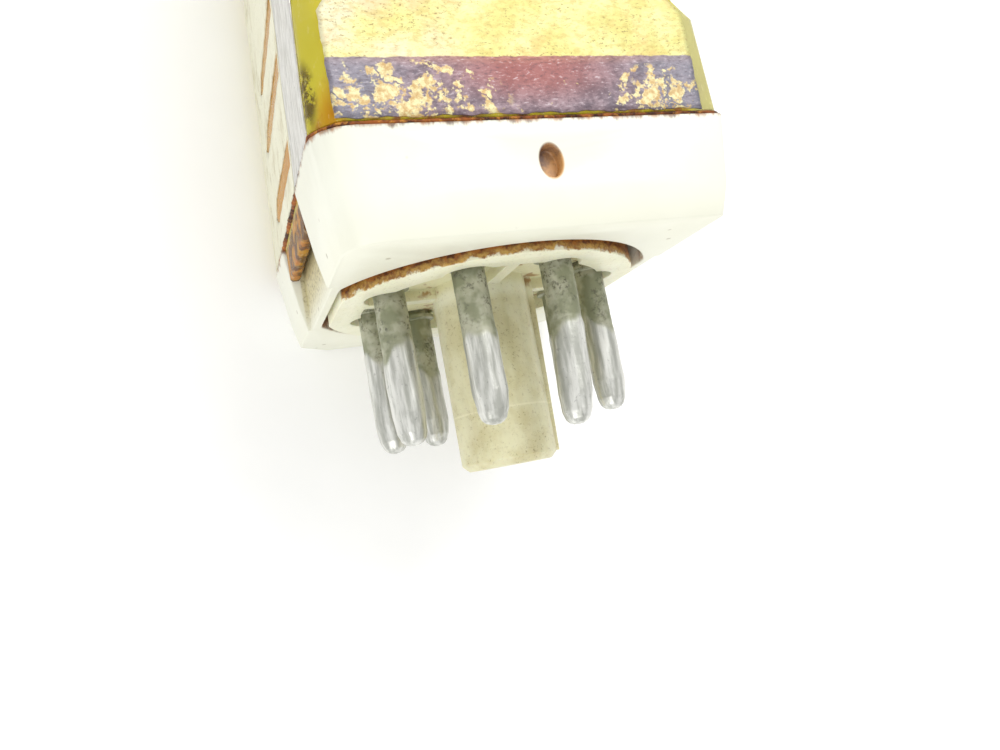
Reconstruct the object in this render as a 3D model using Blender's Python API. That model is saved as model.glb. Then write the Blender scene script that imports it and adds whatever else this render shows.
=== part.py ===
"""Plug-in control relay with a round eight-pin base, lying on its back.

X runs across the relay, Y from the pins towards the top of the cover, Z out of the label face.
The solids are drawn around the base's axis, at the seating face, and then placed in the part's frame.
"""
import math

import bmesh
import bpy
from mathutils import Matrix, Vector

MM = 0.001
CLEARANCE = 0.3 * MM          # air between neighbouring pieces

# Driving sizes of the outside.
BODY_WIDTH = 28.1 * MM        # across, at the rim between base and cover
BODY_DEPTH = 32.8 * MM        # back face to front face of the base
BODY_HEIGHT = 53.0 * MM       # seating face to the top of the cover
BASE_HEIGHT = 7.0 * MM        # seating face to the rim
BASE_FOLD_HEIGHT = 2.1 * MM   # below it the base's sides lean in more
BASE_FLOOR = 2.2 * MM         # plate under the pin header
BASE_LEAN_AT_FOLD = 0.7 * MM  # how far a side has come in at the fold
BASE_LEAN_AT_FOOT = 1.15 * MM
BASE_FRONT_LEAN = (0.7 * MM, 0.15 * MM)   # how far the front has come in at the foot and the fold
BASE_BACK_LEAN = 0.4 * MM                 # and the back, at the foot
BASE_CORNER = 2.6 * MM
BASE_SHARP_CORNER = 0.5 * MM  # right front, the only corner that isn't rounded off
LIP_HEIGHT = 1.2 * MM         # register lip that stands inside the cover
LIP_WALL = 0.75 * MM
SLOT_WIDTH = 13.0 * MM        # channel in each side that takes a cover tongue
SLOT_FLOOR = 1.45 * MM        # its depth at the rim
SLOT_WALL = 0.7 * MM          # between the channel and the round opening, which it cuts flat
DIMPLE_SIZE = (1.5 * MM, 2.1 * MM, 1.0 * MM)
DIMPLE_PLACE = (0.6 * MM, 4.2 * MM)
OVERLAP = 0.5 * MM            # how far joined solids run into each other, and cuts past them

# Eight-pin base.
PIN_CIRCLE_RADIUS = 8.725 * MM
PIN_RADIUS = 1.18 * MM
PIN_BORE_RADIUS = 0.75 * MM
PIN_LENGTH = 11.15 * MM       # below the seating face
PIN_TAIL = 5.4 * MM           # above the seating face
PIN_FLANGE_RADIUS = 1.55 * MM
PIN_FLANGE_HEIGHT = 0.4 * MM
PIN_ANGLES = (22.5, 67.5, 112.5, 157.5, 202.5, 247.5, 292.5, 337.5)
PIN_TIP_EXTRA = (0.75, -0.15, 0.1, 0.0, -0.2, 0.1, 0.1, -0.15)   # solder left on each tip, mm
PIN_BEND = (-0.6, 0.0, 0.0, 0.0, 0.0, 0.0, 0.0, 0.0)             # tip pushed sideways, mm
GROOVE_RADIUS = 13.16 * MM    # round opening in the base's floor
RING_RADIUS = 12.2 * MM       # pin header's ring
RING_DROP = 0.4 * MM          # it stands this far out of the seating face
RING_STEP = 1.35 * MM         # the ring's neck is this much slimmer, above the base's floor
RECESS_RADIUS = 9.5 * MM
RECESS_DEPTH = 0.8 * MM       # above the seating face
RIB_THICKNESS = 1.0 * MM
KEY_POST_RADIUS = 3.75 * MM
KEY_POST_LENGTH = 13.76 * MM
KEY_WIDTH = 2.0 * MM
KEY_HEIGHT = 0.5 * MM
HEADER_THICKNESS = 2.0 * MM
PILLAR_RADIUS = 1.9 * MM
PILLAR_PLACE = (7.6 * MM, 8.6 * MM)
HEADER_STEP = 0.7 * MM        # the ring's neck ends this far below the plate's top
POST_EDGE = 0.5 * MM          # cut edge at the post's end

# Cover.
COVER_WALL = 1.3 * MM
COVER_SIDE_LEAN = math.tan(math.radians(1.9))
COVER_FRONT_LEAN = math.tan(math.radians(0.4))
COVER_FRONT_SET_BACK = 0.2 * MM
COVER_SIDE_SET_BACK = 0.25 * MM   # leaves room for the side label inside the base's width
SKIRT_HEIGHT = 14.2 * MM      # above it the corners are cut back
SHOULDER_HEIGHT = 1.4 * MM
SKIRT_CORNER = 1.5 * MM
SKIRT_SHARP_CORNER = 0.4 * MM # right front, over the base's sharp corner
UPPER_CORNER = 2.0 * MM
TOP_EDGE = 1.5 * MM
INNER_EDGE = 0.5 * MM         # cut edge under the lid
TONGUE_LENGTH = 2.8 * MM
LABEL_THICKNESS = 0.15 * MM
LABEL_FOOT_MARGIN = 0.1 * MM
LABEL_EDGE_MARGIN = 0.3 * MM
FRONT_LABEL_HALF_WIDTH = 12.45 * MM
FRONT_LABEL_HEIGHT = 34.0 * MM
SIDE_LABEL_HEIGHT = 38.0 * MM

# Magnet: yoke, coil and core.
YOKE_THICKNESS = 1.6 * MM
YOKE_MARGIN = 0.75 * MM       # yoke beyond the armature's sides
YOKE_BACK = 14.2 * MM         # its back face, behind the axis
YOKE_FRONT = 10.5 * MM        # front end of its foot
YOKE_FOOT_HEIGHT = 11.0 * MM  # underside above the seating face
COIL_SET_BACK = 3.2 * MM      # coil axis behind the base's axis
COIL_LENGTH = 25.0 * MM
BOBBIN_RADIUS = 8.9 * MM
BOBBIN_FLANGE = 1.0 * MM
BOBBIN_WALL = 0.8 * MM
WINDING_DEPTH = 3.0 * MM
TAPE_THICKNESS = 0.25 * MM
CORE_RADIUS = 3.5 * MM
CORE_SHANK_RADIUS = 1.9 * MM
POLE_RADIUS = 5.2 * MM
POLE_THICKNESS = 1.0 * MM
RIVETED_HEAD = (2.8 * MM, 0.8 * MM)   # the core's upset end under the yoke

# Armature and what it carries, drawn pulled in; it rests open.
OPEN_ANGLE = math.radians(3.8)
HINGE_SET_BACK = 13.4 * MM
ARMATURE_THICKNESS = 1.5 * MM
ARMATURE_MARGIN = 3.2 * MM    # plate beyond each blade rivet
ARMATURE_FRONT = 4.0 * MM
CARRIER_THICKNESS = 2.2 * MM
CARRIER_MARGIN = 2.0 * MM     # carrier beyond each blade
CARRIER_FRONT = 7.8 * MM
SPRING_TAB_FRONT = 10.2 * MM
BLADE_THICKNESS = 0.3 * MM
BLADE_WIDTH = 3.8 * MM
BLADE_FRONT = 12.3 * MM
CONTACT_LINE = 10.6 * MM      # contacts in front of the axis
CONTACT_RADIUS = 1.4 * MM
CONTACT_HEAD = 0.6 * MM
RIVET_SHANK_RADIUS = 0.6 * MM
RIVET_HOLE = RIVET_SHANK_RADIUS + CLEARANCE
BLADE_RIVET_LINE = 1.2 * MM   # in front of the axis
BLADE_RIVET_HEAD = (1.2 * MM, 0.5 * MM)
CARRIER_BACK = 1.5 * MM       # behind the axis
SPRING_TAB_HALF_WIDTH = 2.4 * MM
CLIP_THICKNESS = 0.3 * MM
CLIP_LENGTH = 9.0 * MM
CLIP_HALF_WIDTH = 3.0 * MM
CLIP_REACH = 4.0 * MM         # over the armature, in front of its hinge line

# Fixed contacts and their block.
STRIP_THICKNESS = 0.6 * MM
STRIP_WIDTH = 2.4 * MM
STRIP_MARGIN = 1.3 * MM       # air between the outer strips and the cover
STRIP_RIVET_HEADS = (0.5 * MM, 0.35 * MM)
STRIP_RIVET_RADIUS = 1.0 * MM
MAKE_RIVET_HEIGHT = 26.0 * MM
BREAK_RIVET_HEIGHT = 19.0 * MM
THIN_HEAD = 0.4 * MM          # a fixed contact's head behind its strip
TAB_LENGTH = 4.6 * MM
STRIP_FOOT_HEIGHT = 7.5 * MM
BLOCK_THICKNESS = 1.7 * MM
BLOCK_MARGIN = 0.9 * MM       # block beyond the outer strips
BLOCK_TOP = 34.0 * MM
BLOCK_FOOT_THICKNESS = 1.4 * MM
BLOCK_FOOT_HALF_WIDTH = 2.0 * MM
SHELF_THICKNESS = 1.1 * MM
SHELF_MARGIN = 0.8 * MM       # shelf beyond the spring's sides
SPRING_RADIUS = 1.5 * MM
SPRING_WIRE_RADIUS = 0.18 * MM
SPRING_TURNS = 6
LEAD_RADIUS = 0.4 * MM
LEAD_IN_PIN = 1.5 * MM        # how far a lead goes down its pin
LEAD_BEND = 1.2 * MM          # height of its bend over the pin's tail
SCREW_HEAD_RADIUS = 1.9 * MM
SCREW_HEAD_HEIGHT = 1.2 * MM
SCREW_EDGE = 0.4 * MM
SCREW_RADIUS = 1.0 * MM
SCREW_POINT = 0.5 * MM
SCREW_SLOT_HALF_WIDTH = 0.25 * MM

# Places that follow from the sizes above.
SEAT_Y = (KEY_POST_LENGTH - BODY_HEIGHT) / 2
AXIS_Z = BODY_DEPTH / 2
ORIGIN = Vector((0, SEAT_Y, AXIS_Z))
HALF_WIDTH = BODY_WIDTH / 2
HALF_DEPTH = BODY_DEPTH / 2
OPENING_FLAT = HALF_WIDTH - SLOT_FLOOR - SLOT_WALL
RING_FLAT = OPENING_FLAT - CLEARANCE
COVER_FOOT = BASE_HEIGHT + CLEARANCE
COVER_FRONT = HALF_DEPTH - COVER_FRONT_SET_BACK
COVER_HALF_WIDTH = HALF_WIDTH - COVER_SIDE_SET_BACK
LIP_HALF_WIDTH = COVER_HALF_WIDTH - COVER_WALL - CLEARANCE
LIP_FRONT = COVER_FRONT - COVER_WALL - CLEARANCE
LIP_BACK = -HALF_DEPTH + COVER_WALL + CLEARANCE
POCKET_HALF_WIDTH = LIP_HALF_WIDTH - LIP_WALL
PLATE_HALF_WIDTH = POCKET_HALF_WIDTH - CLEARANCE
HEADER_UNDER = BASE_FLOOR + CLEARANCE
HEADER_TOP = HEADER_UNDER + HEADER_THICKNESS
PILLAR_TOP = YOKE_FOOT_HEIGHT - CLEARANCE
YOKE_FOOT_TOP = YOKE_FOOT_HEIGHT + YOKE_THICKNESS
COIL_FOOT = YOKE_FOOT_TOP + CLEARANCE
COIL_TOP = COIL_FOOT + COIL_LENGTH
TUBE_RADIUS = CORE_RADIUS + CLEARANCE + BOBBIN_WALL
WINDING_RADIUS = TUBE_RADIUS + CLEARANCE + WINDING_DEPTH
POLE_TOP = COIL_TOP + CLEARANCE + POLE_THICKNESS
ARMATURE_UNDER = POLE_TOP + CLEARANCE
ARMATURE_TOP = ARMATURE_UNDER + ARMATURE_THICKNESS
CARRIER_UNDER = ARMATURE_TOP + CLEARANCE
CARRIER_TOP = CARRIER_UNDER + CARRIER_THICKNESS
BLADE_UNDER = CARRIER_TOP + CLEARANCE
BLADE_TOP = BLADE_UNDER + BLADE_THICKNESS
MOVING_FACE_LOW = BLADE_UNDER - CLEARANCE - CONTACT_HEAD
MOVING_FACE_HIGH = BLADE_TOP + CLEARANCE + CONTACT_HEAD
CONTACT_TRAVEL = (CONTACT_LINE + HINGE_SET_BACK) * math.tan(OPEN_ANGLE)
MAKE_FACE = MOVING_FACE_LOW - CLEARANCE
BREAK_FACE = MOVING_FACE_HIGH + CONTACT_TRAVEL + CLEARANCE
BLOCK_BACK = YOKE_FRONT + CLEARANCE
BLOCK_FRONT = BLOCK_BACK + BLOCK_THICKNESS
STRIP_BACK = BLOCK_FRONT + CLEARANCE
STRIP_FRONT = STRIP_BACK + STRIP_THICKNESS
INNER_CORNER = UPPER_CORNER - 0.6 * COVER_WALL
INNER_TOP_HALF_WIDTH = COVER_HALF_WIDTH - (BODY_HEIGHT - COVER_FOOT) * COVER_SIDE_LEAN - COVER_WALL
INNER_TOP_FRONT = COVER_FRONT - (BODY_HEIGHT - COVER_FOOT) * COVER_FRONT_LEAN - COVER_WALL
CORNER_REACH = max(0, INNER_CORNER - (INNER_TOP_FRONT - STRIP_FRONT))
BREAK_STRIP_SIDE = INNER_TOP_HALF_WIDTH - CORNER_REACH - STRIP_MARGIN - STRIP_WIDTH / 2
POLE_SPACING = BREAK_STRIP_SIDE - STRIP_WIDTH / 2 - CLEARANCE - BLADE_WIDTH / 2
ARMATURE_HALF_WIDTH = POLE_SPACING + ARMATURE_MARGIN
YOKE_HALF_WIDTH = ARMATURE_HALF_WIDTH + YOKE_MARGIN
CARRIER_HALF_WIDTH = POLE_SPACING + BLADE_WIDTH / 2 + CARRIER_MARGIN
BLOCK_HALF_WIDTH = BREAK_STRIP_SIDE + STRIP_WIDTH / 2 + BLOCK_MARGIN
SKIRT_CORNERS = (SKIRT_SHARP_CORNER, SKIRT_CORNER, SKIRT_CORNER, SKIRT_CORNER)
UPPER_CORNERS = (UPPER_CORNER,) * 4
PLATE_CORNERS = (SKIRT_CORNER,) * 4
ALL_CUT = (False,) * 4
ALL_ROUND = (True,) * 4
SIDES = (("left", -1), ("right", 1))
PIN_NAMES = [f"contact_pin_{index + 1}" for index in range(len(PIN_ANGLES))]


# ---------------------------------------------------------------- modelling helpers

def clear_scene():
    """Remove what the file holds, so the model starts from nothing."""
    for old in list(bpy.data.objects):
        bpy.data.objects.remove(old, do_unlink=True)


def finish(name, colour, roughness=0.5, metallic=0.0, alpha=1.0):
    """Return the named material, making it the first time."""
    made = bpy.data.materials.get(name)
    if made:
        return made
    made = bpy.data.materials.new(name)
    made.use_nodes = True
    shader = made.node_tree.nodes["Principled BSDF"]
    shader.inputs["Base Color"].default_value = (*colour, 1)
    shader.inputs["Roughness"].default_value = roughness
    shader.inputs["Metallic"].default_value = metallic
    shader.inputs["Alpha"].default_value = alpha
    return made


def place(name, work, material=None, smooth=True):
    """Turn a bmesh drawn around the base's axis into an object in the part's frame."""
    bmesh.ops.recalc_face_normals(work, faces=work.faces)
    mesh = bpy.data.meshes.new(name)
    work.to_mesh(mesh)
    work.free()
    if smooth:
        mesh.shade_smooth()
        mesh.set_sharp_from_angle(angle=math.radians(35))
    made = bpy.data.objects.new(name, mesh)
    made.location = ORIGIN
    if material:
        mesh.materials.append(material)
    bpy.context.scene.collection.objects.link(made)
    return made


def block(low, high):
    """A box between two opposite corners."""
    work = bmesh.new()
    size = [high[i] - low[i] for i in range(3)]
    middle = [(high[i] + low[i]) / 2 for i in range(3)]
    bmesh.ops.create_cube(work, size=1, matrix=Matrix.Translation(middle) @ Matrix.Diagonal((*size, 1)))
    return work


def loft(rings):
    """A closed skin over rings of equal point counts, with a flat face at each end."""
    work = bmesh.new()
    rows = [[work.verts.new(point) for point in ring] for ring in rings]
    for low, high in zip(rows, rows[1:]):
        for i in range(len(low)):
            j = (i + 1) % len(low)
            work.faces.new((low[i], low[j], high[j], high[i]))
    work.faces.new(rows[0])
    work.faces.new(rows[-1])
    return work


def turned(profile, middle=(0, 0), along="Y", steps=32):
    """Turn (radius, height) points about an axis; a profile that starts and ends at radius 0 is solid."""
    work = bmesh.new()
    rows = []
    for radius, height in profile:
        count = steps if radius > 0 else 1
        row = []
        for i in range(count):
            angle = 2 * math.pi * i / steps
            across = middle[0] + radius * math.cos(angle)
            other = middle[1] + radius * math.sin(angle)
            point = (across, height, other) if along == "Y" else (across, other, height)
            row.append(work.verts.new(point))
        rows.append(row)
    solid = profile[0][0] == 0
    pairs = list(zip(rows, rows[1:])) if solid else list(zip(rows, rows[1:] + rows[:1]))
    for low, high in pairs:
        for i in range(steps):
            j = (i + 1) % steps
            corners = [low[i % len(low)], low[j % len(low)], high[j % len(high)], high[i % len(high)]]
            unique = list(dict.fromkeys(corners))
            work.faces.new(unique)
    return work


def rod(radius, low, high, middle=(0, 0), along="Y", steps=24):
    """A plain cylinder between two heights."""
    return turned(((0, low), (radius, low), (radius, high), (0, high)), middle, along, steps)


def change(target, operation, work):
    """Cut a shape out of the target, or join one to it, with a Boolean that stays live."""
    tool = place(f"{target.name}_{operation.lower()}_{len(target.modifiers)}", work, smooth=False)
    tool.location = target.location
    tool.rotation_euler = target.rotation_euler
    tool.hide_render = True
    tool.display_type = "WIRE"
    modifier = target.modifiers.new(operation.lower(), "BOOLEAN")
    modifier.operation = operation
    modifier.object = tool


def corner_points(middle, size, start, rounded, steps=4):
    """Points across one corner from start degrees on: an arc, or a straight cut with the same ends."""
    points = []
    for i in range(steps + 1):
        share = i / steps
        angle = math.radians(start + 90 * share)
        begin = math.radians(start)
        arc = (math.cos(angle), math.sin(angle))
        cut = (math.cos(begin) * (1 - share) - math.sin(begin) * share,
               math.sin(begin) * (1 - share) + math.cos(begin) * share)
        x, z = arc if rounded else cut
        points.append((middle[0] + size * x, middle[1] + size * z))
    return points


def section(height, half_width, front, back, corners, rounded):
    """One outline of a case at a height; its corners go from right front, by left, to right back."""
    outline = []
    places = ((0, 1, front, -1), (90, -1, front, -1), (180, -1, back, 1), (270, 1, back, 1))
    for (start, side, edge, inward), size, arc in zip(places, corners, rounded):
        outline += corner_points((side * (half_width - size), edge + inward * size), size, start, arc)
    return [(x, height, z) for x, z in outline]


def flatted(work, half_width):
    """Cut a round shape flat on its left and right."""
    for vertex in work.verts:
        vertex.co.x = max(-half_width, min(half_width, vertex.co.x))
    return work


def wire(name, points, radius, material, sides=2):
    """A round wire along points, closed at both ends."""
    curve = bpy.data.curves.new(name, "CURVE")
    curve.dimensions = "3D"
    curve.bevel_depth = radius
    curve.bevel_resolution = sides
    curve.use_fill_caps = True
    spline = curve.splines.new("POLY")
    spline.points.add(len(points) - 1)
    for point, target in zip(points, spline.points):
        target.co = (*point, 1)
    curve.materials.append(material)
    made = bpy.data.objects.new(name, curve)
    made.location = ORIGIN
    bpy.context.scene.collection.objects.link(made)
    return made


def smooth_route(stops, steps=4):
    """Points of a Catmull-Rom curve through the stops."""
    ends = [stops[0]] + list(stops) + [stops[-1]]
    route = []
    for before, first, second, after in zip(ends, ends[1:], ends[2:], ends[3:]):
        a, b, c, d = (Vector(stop) for stop in (before, first, second, after))
        for i in range(steps):
            t = i / steps
            route.append(0.5 * (2 * b + (c - a) * t + (2 * a - 5 * b + 4 * c - d) * t ** 2
                                + (3 * b - a - 3 * c + d) * t ** 3))
    route.append(Vector(stops[-1]))
    return route


def rivet(name, material, middle, along, heads, radius, shank):
    """A rivet with a flat head at each end; heads are the two (low, high) spans of its heads."""
    (low, low_top), (high_under, high) = heads
    profile = ((0, low), (radius, low), (radius, low_top), (shank, low_top),
               (shank, high_under), (radius, high_under), (radius, high), (0, high))
    return place(name, turned(profile, middle, along, 16), material)


# ---------------------------------------------------------------- base

def pin_place(angle):
    """Where a pin stands on the pin circle; 0 degrees is towards the label face."""
    turn = math.radians(angle)
    return PIN_CIRCLE_RADIUS * math.sin(turn), PIN_CIRCLE_RADIUS * math.cos(turn)


def base_shell():
    """The moulded collar: leaning walls, round opening below, side channels, register lip."""
    ivory = finish("ivory_base", (0.83, 0.80, 0.70), 0.4)
    corners = (BASE_SHARP_CORNER, BASE_CORNER, BASE_CORNER, BASE_CORNER)
    rounded = (True, True, False, False)
    front_at_foot, front_at_fold = BASE_FRONT_LEAN
    rows = [section(0, HALF_WIDTH - BASE_LEAN_AT_FOOT, HALF_DEPTH - front_at_foot,
                    -HALF_DEPTH + BASE_BACK_LEAN, corners, rounded),
            section(BASE_FOLD_HEIGHT, HALF_WIDTH - BASE_LEAN_AT_FOLD, HALF_DEPTH - front_at_fold,
                    -HALF_DEPTH, corners, rounded),
            section(BASE_HEIGHT, HALF_WIDTH, HALF_DEPTH, -HALF_DEPTH, corners, rounded)]
    shell = place("base_shell", loft(rows), ivory)
    lip = [section(height, LIP_HALF_WIDTH, LIP_FRONT, LIP_BACK, PLATE_CORNERS, ALL_CUT)
           for height in (BASE_HEIGHT - 2 * OVERLAP, BASE_HEIGHT + LIP_HEIGHT)]
    change(shell, "UNION", loft(lip))
    pocket = [section(height, POCKET_HALF_WIDTH, LIP_FRONT - LIP_WALL, LIP_BACK + LIP_WALL,
                      PLATE_CORNERS, ALL_ROUND)
              for height in (BASE_FLOOR, BASE_HEIGHT + 2 * LIP_HEIGHT)]
    change(shell, "DIFFERENCE", loft(pocket))
    opening = rod(GROOVE_RADIUS, -2 * BASE_FLOOR, 1.5 * BASE_FLOOR, steps=96)
    change(shell, "DIFFERENCE", flatted(opening, OPENING_FLAT))
    floor = HALF_WIDTH - SLOT_FLOOR
    for side in (-1, 1):
        near, far = sorted((side * floor, side * BODY_WIDTH))
        change(shell, "DIFFERENCE", block((near, -OVERLAP, -SLOT_WIDTH / 2),
                                          (far, BASE_HEIGHT + OVERLAP, SLOT_WIDTH / 2)))
    x, y = DIMPLE_PLACE
    dimple = rod(1, HALF_DEPTH - DIMPLE_SIZE[2], HALF_DEPTH + 2 * OVERLAP, along="Z")
    stretch = Matrix.Translation((x, y, 0)) @ Matrix.Diagonal((DIMPLE_SIZE[0] / 2, DIMPLE_SIZE[1] / 2, 1, 1))
    bmesh.ops.transform(dimple, matrix=stretch, verts=dimple.verts)
    change(shell, "DIFFERENCE", dimple)


def pin_header():
    """The round insulator: plate, ring, recess with ribs, keyed centre post and two pillars."""
    cream = finish("cream_header", (0.80, 0.75, 0.58), 0.45)
    front = LIP_FRONT - LIP_WALL - CLEARANCE
    back = LIP_BACK + LIP_WALL + CLEARANCE
    plate = [section(height, PLATE_HALF_WIDTH, front, back, PLATE_CORNERS, ALL_ROUND)
             for height in (HEADER_UNDER, HEADER_TOP)]
    header = place("pin_header", loft(plate), cream)
    ring_top = BASE_FLOOR - CLEARANCE
    neck = RING_RADIUS - RING_STEP
    ring = ((0, RECESS_DEPTH), (RECESS_RADIUS, RECESS_DEPTH), (RECESS_RADIUS, -RING_DROP),
            (RING_RADIUS, -RING_DROP), (RING_RADIUS, ring_top), (neck, ring_top),
            (neck, HEADER_TOP - HEADER_STEP), (0, HEADER_TOP - HEADER_STEP))
    change(header, "UNION", flatted(turned(ring, steps=96), RING_FLAT))
    reach = RECESS_RADIUS + OVERLAP
    under = -0.1 * MM
    over = RECESS_DEPTH + OVERLAP
    half = RIB_THICKNESS / 2
    change(header, "UNION", block((-reach, under, -half), (reach, over, half)))
    change(header, "UNION", block((-half, under, -reach), (half, over, reach)))
    in_plate = RECESS_DEPTH + 2 * OVERLAP
    post = ((0, -KEY_POST_LENGTH), (KEY_POST_RADIUS - POST_EDGE, -KEY_POST_LENGTH),
            (KEY_POST_RADIUS, -KEY_POST_LENGTH + POST_EDGE), (KEY_POST_RADIUS, in_plate), (0, in_plate))
    change(header, "UNION", turned(post))
    key = block((KEY_POST_RADIUS - 2 * OVERLAP, -KEY_POST_LENGTH + POST_EDGE, -KEY_WIDTH / 2),
                (KEY_POST_RADIUS + KEY_HEIGHT, in_plate - 0.3 * OVERLAP, KEY_WIDTH / 2))
    change(header, "UNION", key)
    for side in (-1, 1):
        middle = (side * PILLAR_PLACE[0], PILLAR_PLACE[1])
        change(header, "UNION", rod(PILLAR_RADIUS, HEADER_TOP - OVERLAP, PILLAR_TOP, middle))
        change(header, "DIFFERENCE",
               rod(SCREW_RADIUS + CLEARANCE, HEADER_TOP, PILLAR_TOP + OVERLAP, middle, steps=16))
    for angle in PIN_ANGLES:
        middle = pin_place(angle)
        change(header, "DIFFERENCE", rod(PIN_FLANGE_RADIUS + CLEARANCE, -2 * OVERLAP, RECESS_DEPTH, middle))
        change(header, "DIFFERENCE",
               rod(PIN_RADIUS + CLEARANCE, -2 * OVERLAP, HEADER_TOP + 2 * OVERLAP, middle, steps=16))


def contact_pins():
    """Eight hollow pins: a flange under the header, an open tail for the lead, solder at the tip."""
    tin = finish("tinned_pin", (0.55, 0.56, 0.55), 0.35, 1.0)
    for name, angle, extra, bend in zip(PIN_NAMES, PIN_ANGLES, PIN_TIP_EXTRA, PIN_BEND):
        flange = RECESS_DEPTH - CLEARANCE
        length = -PIN_LENGTH - extra * MM
        bore_end = -0.75 * PIN_LENGTH
        profile = ((0, length), (0.35 * PIN_RADIUS, length + 0.05 * MM),
                   (0.7 * PIN_RADIUS, length + 0.35 * MM), (0.88 * PIN_RADIUS, length + 0.9 * MM),
                   (PIN_RADIUS, length + 2.2 * MM),
                   (PIN_RADIUS, 0.5 * length), (PIN_RADIUS, flange - PIN_FLANGE_HEIGHT),
                   (PIN_FLANGE_RADIUS, flange - PIN_FLANGE_HEIGHT), (PIN_FLANGE_RADIUS, flange),
                   (PIN_RADIUS, flange), (PIN_RADIUS, PIN_TAIL), (PIN_BORE_RADIUS, PIN_TAIL),
                   (PIN_BORE_RADIUS, 0.4 * length), (PIN_BORE_RADIUS, bore_end), (0, bore_end - 0.5 * MM))
        work = turned(profile, pin_place(angle), steps=16)
        for vertex in work.verts:
            below = min(0, vertex.co.y + 1 * MM)
            vertex.co.x += bend * MM * (below / length) ** 2
        place(name, work, tin)


# ---------------------------------------------------------------- cover and labels

def side_at(height, wall=0.0):
    """Half width of the cover at a height, on its outside or the wall's thickness in."""
    return COVER_HALF_WIDTH - (height - COVER_FOOT) * COVER_SIDE_LEAN - wall


def front_at(height, wall=0.0):
    """How far the cover's front stands from the axis at a height."""
    return COVER_FRONT - (height - COVER_FOOT) * COVER_FRONT_LEAN - wall


def cover_section(height, wall, corners, inset=0.0):
    """The cover's outline at a height, its corners cut."""
    sizes = [max(corner - 0.6 * wall, 0.5 * SKIRT_SHARP_CORNER) for corner in corners]
    return section(height, side_at(height, wall) - inset, front_at(height, wall) - inset,
                   -HALF_DEPTH + wall + inset, sizes, ALL_CUT)


def cover():
    """The clear moulded box with its skirt, shoulder, cut corners and two snap tongues."""
    amber = finish("amber_cover", (0.80, 0.62, 0.12), 0.2, 0.0, 0.45)
    shoulder = SKIRT_HEIGHT + SHOULDER_HEIGHT
    rows = [cover_section(COVER_FOOT, 0, SKIRT_CORNERS), cover_section(SKIRT_HEIGHT, 0, SKIRT_CORNERS),
            cover_section(shoulder, 0, UPPER_CORNERS),
            cover_section(BODY_HEIGHT - TOP_EDGE, 0, UPPER_CORNERS)]
    for share in (0.5, 1.0):
        angle = share * math.pi / 2
        rows.append(cover_section(BODY_HEIGHT - TOP_EDGE * (1 - math.sin(angle)), 0, UPPER_CORNERS,
                                  TOP_EDGE * (1 - math.cos(angle))))
    made = place("cover", loft(rows), amber)
    inner = [cover_section(COVER_FOOT - 2 * OVERLAP, COVER_WALL, SKIRT_CORNERS),
             cover_section(SKIRT_HEIGHT, COVER_WALL, SKIRT_CORNERS),
             cover_section(shoulder, COVER_WALL, UPPER_CORNERS),
             cover_section(BODY_HEIGHT - COVER_WALL - INNER_EDGE, COVER_WALL, UPPER_CORNERS),
             cover_section(BODY_HEIGHT - COVER_WALL, COVER_WALL, UPPER_CORNERS, INNER_EDGE)]
    change(made, "DIFFERENCE", loft(inner))
    half = SLOT_WIDTH / 2 - CLEARANCE
    floor = HALF_WIDTH - SLOT_FLOOR + CLEARANCE
    for side in (-1, 1):
        near, far = sorted((side * floor, side * (COVER_HALF_WIDTH - 0.1 * MM)))
        change(made, "UNION", block((near, BASE_HEIGHT - TONGUE_LENGTH, -half),
                                    (far, COVER_FOOT + 2 * OVERLAP, half)))


def label(name, colour, corners, outward):
    """A thin foil: four corners on the cover's face, lifted off it and given its thickness."""
    foil = finish(name + "_foil", colour, 0.45, 0.4)
    lift = Vector(outward)
    rings = [[Vector(corner) + lift * offset for corner in corners]
             for offset in (CLEARANCE, CLEARANCE + LABEL_THICKNESS)]
    place(name, loft(rings), foil, smooth=False)


def front_label_top_half():
    """Half width of the flat front above the shoulder, a margin in from the cut corners."""
    return min(FRONT_LABEL_HALF_WIDTH,
               side_at(COVER_FOOT + FRONT_LABEL_HEIGHT) - UPPER_CORNER - LABEL_FOOT_MARGIN)


def labels():
    """Foil label on the front face and a second one on the left side."""
    low = COVER_FOOT + LABEL_FOOT_MARGIN
    high = low + FRONT_LABEL_HEIGHT
    half = FRONT_LABEL_HALF_WIDTH
    top_half = front_label_top_half()
    label("front_label", (0.72, 0.62, 0.28),
          ((-half, low, front_at(low)), (half, low, front_at(low)),
           (half, SKIRT_HEIGHT, front_at(SKIRT_HEIGHT)),
           (top_half, SKIRT_HEIGHT + SHOULDER_HEIGHT, front_at(SKIRT_HEIGHT + SHOULDER_HEIGHT)),
           (top_half, high, front_at(high)), (-top_half, high, front_at(high)),
           (-top_half, SKIRT_HEIGHT + SHOULDER_HEIGHT, front_at(SKIRT_HEIGHT + SHOULDER_HEIGHT)),
           (-half, SKIRT_HEIGHT, front_at(SKIRT_HEIGHT))), (0, 0, 1))
    high = low + SIDE_LABEL_HEIGHT
    back = -HALF_DEPTH + UPPER_CORNER + LABEL_EDGE_MARGIN
    front = HALF_DEPTH - UPPER_CORNER - LABEL_EDGE_MARGIN
    label("side_label", (0.78, 0.77, 0.70),
          ((-side_at(low), low, back), (-side_at(low), low, front),
           (-side_at(high), high, front), (-side_at(high), high, back)), (-1, 0, 0))


# ---------------------------------------------------------------- magnet

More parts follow.
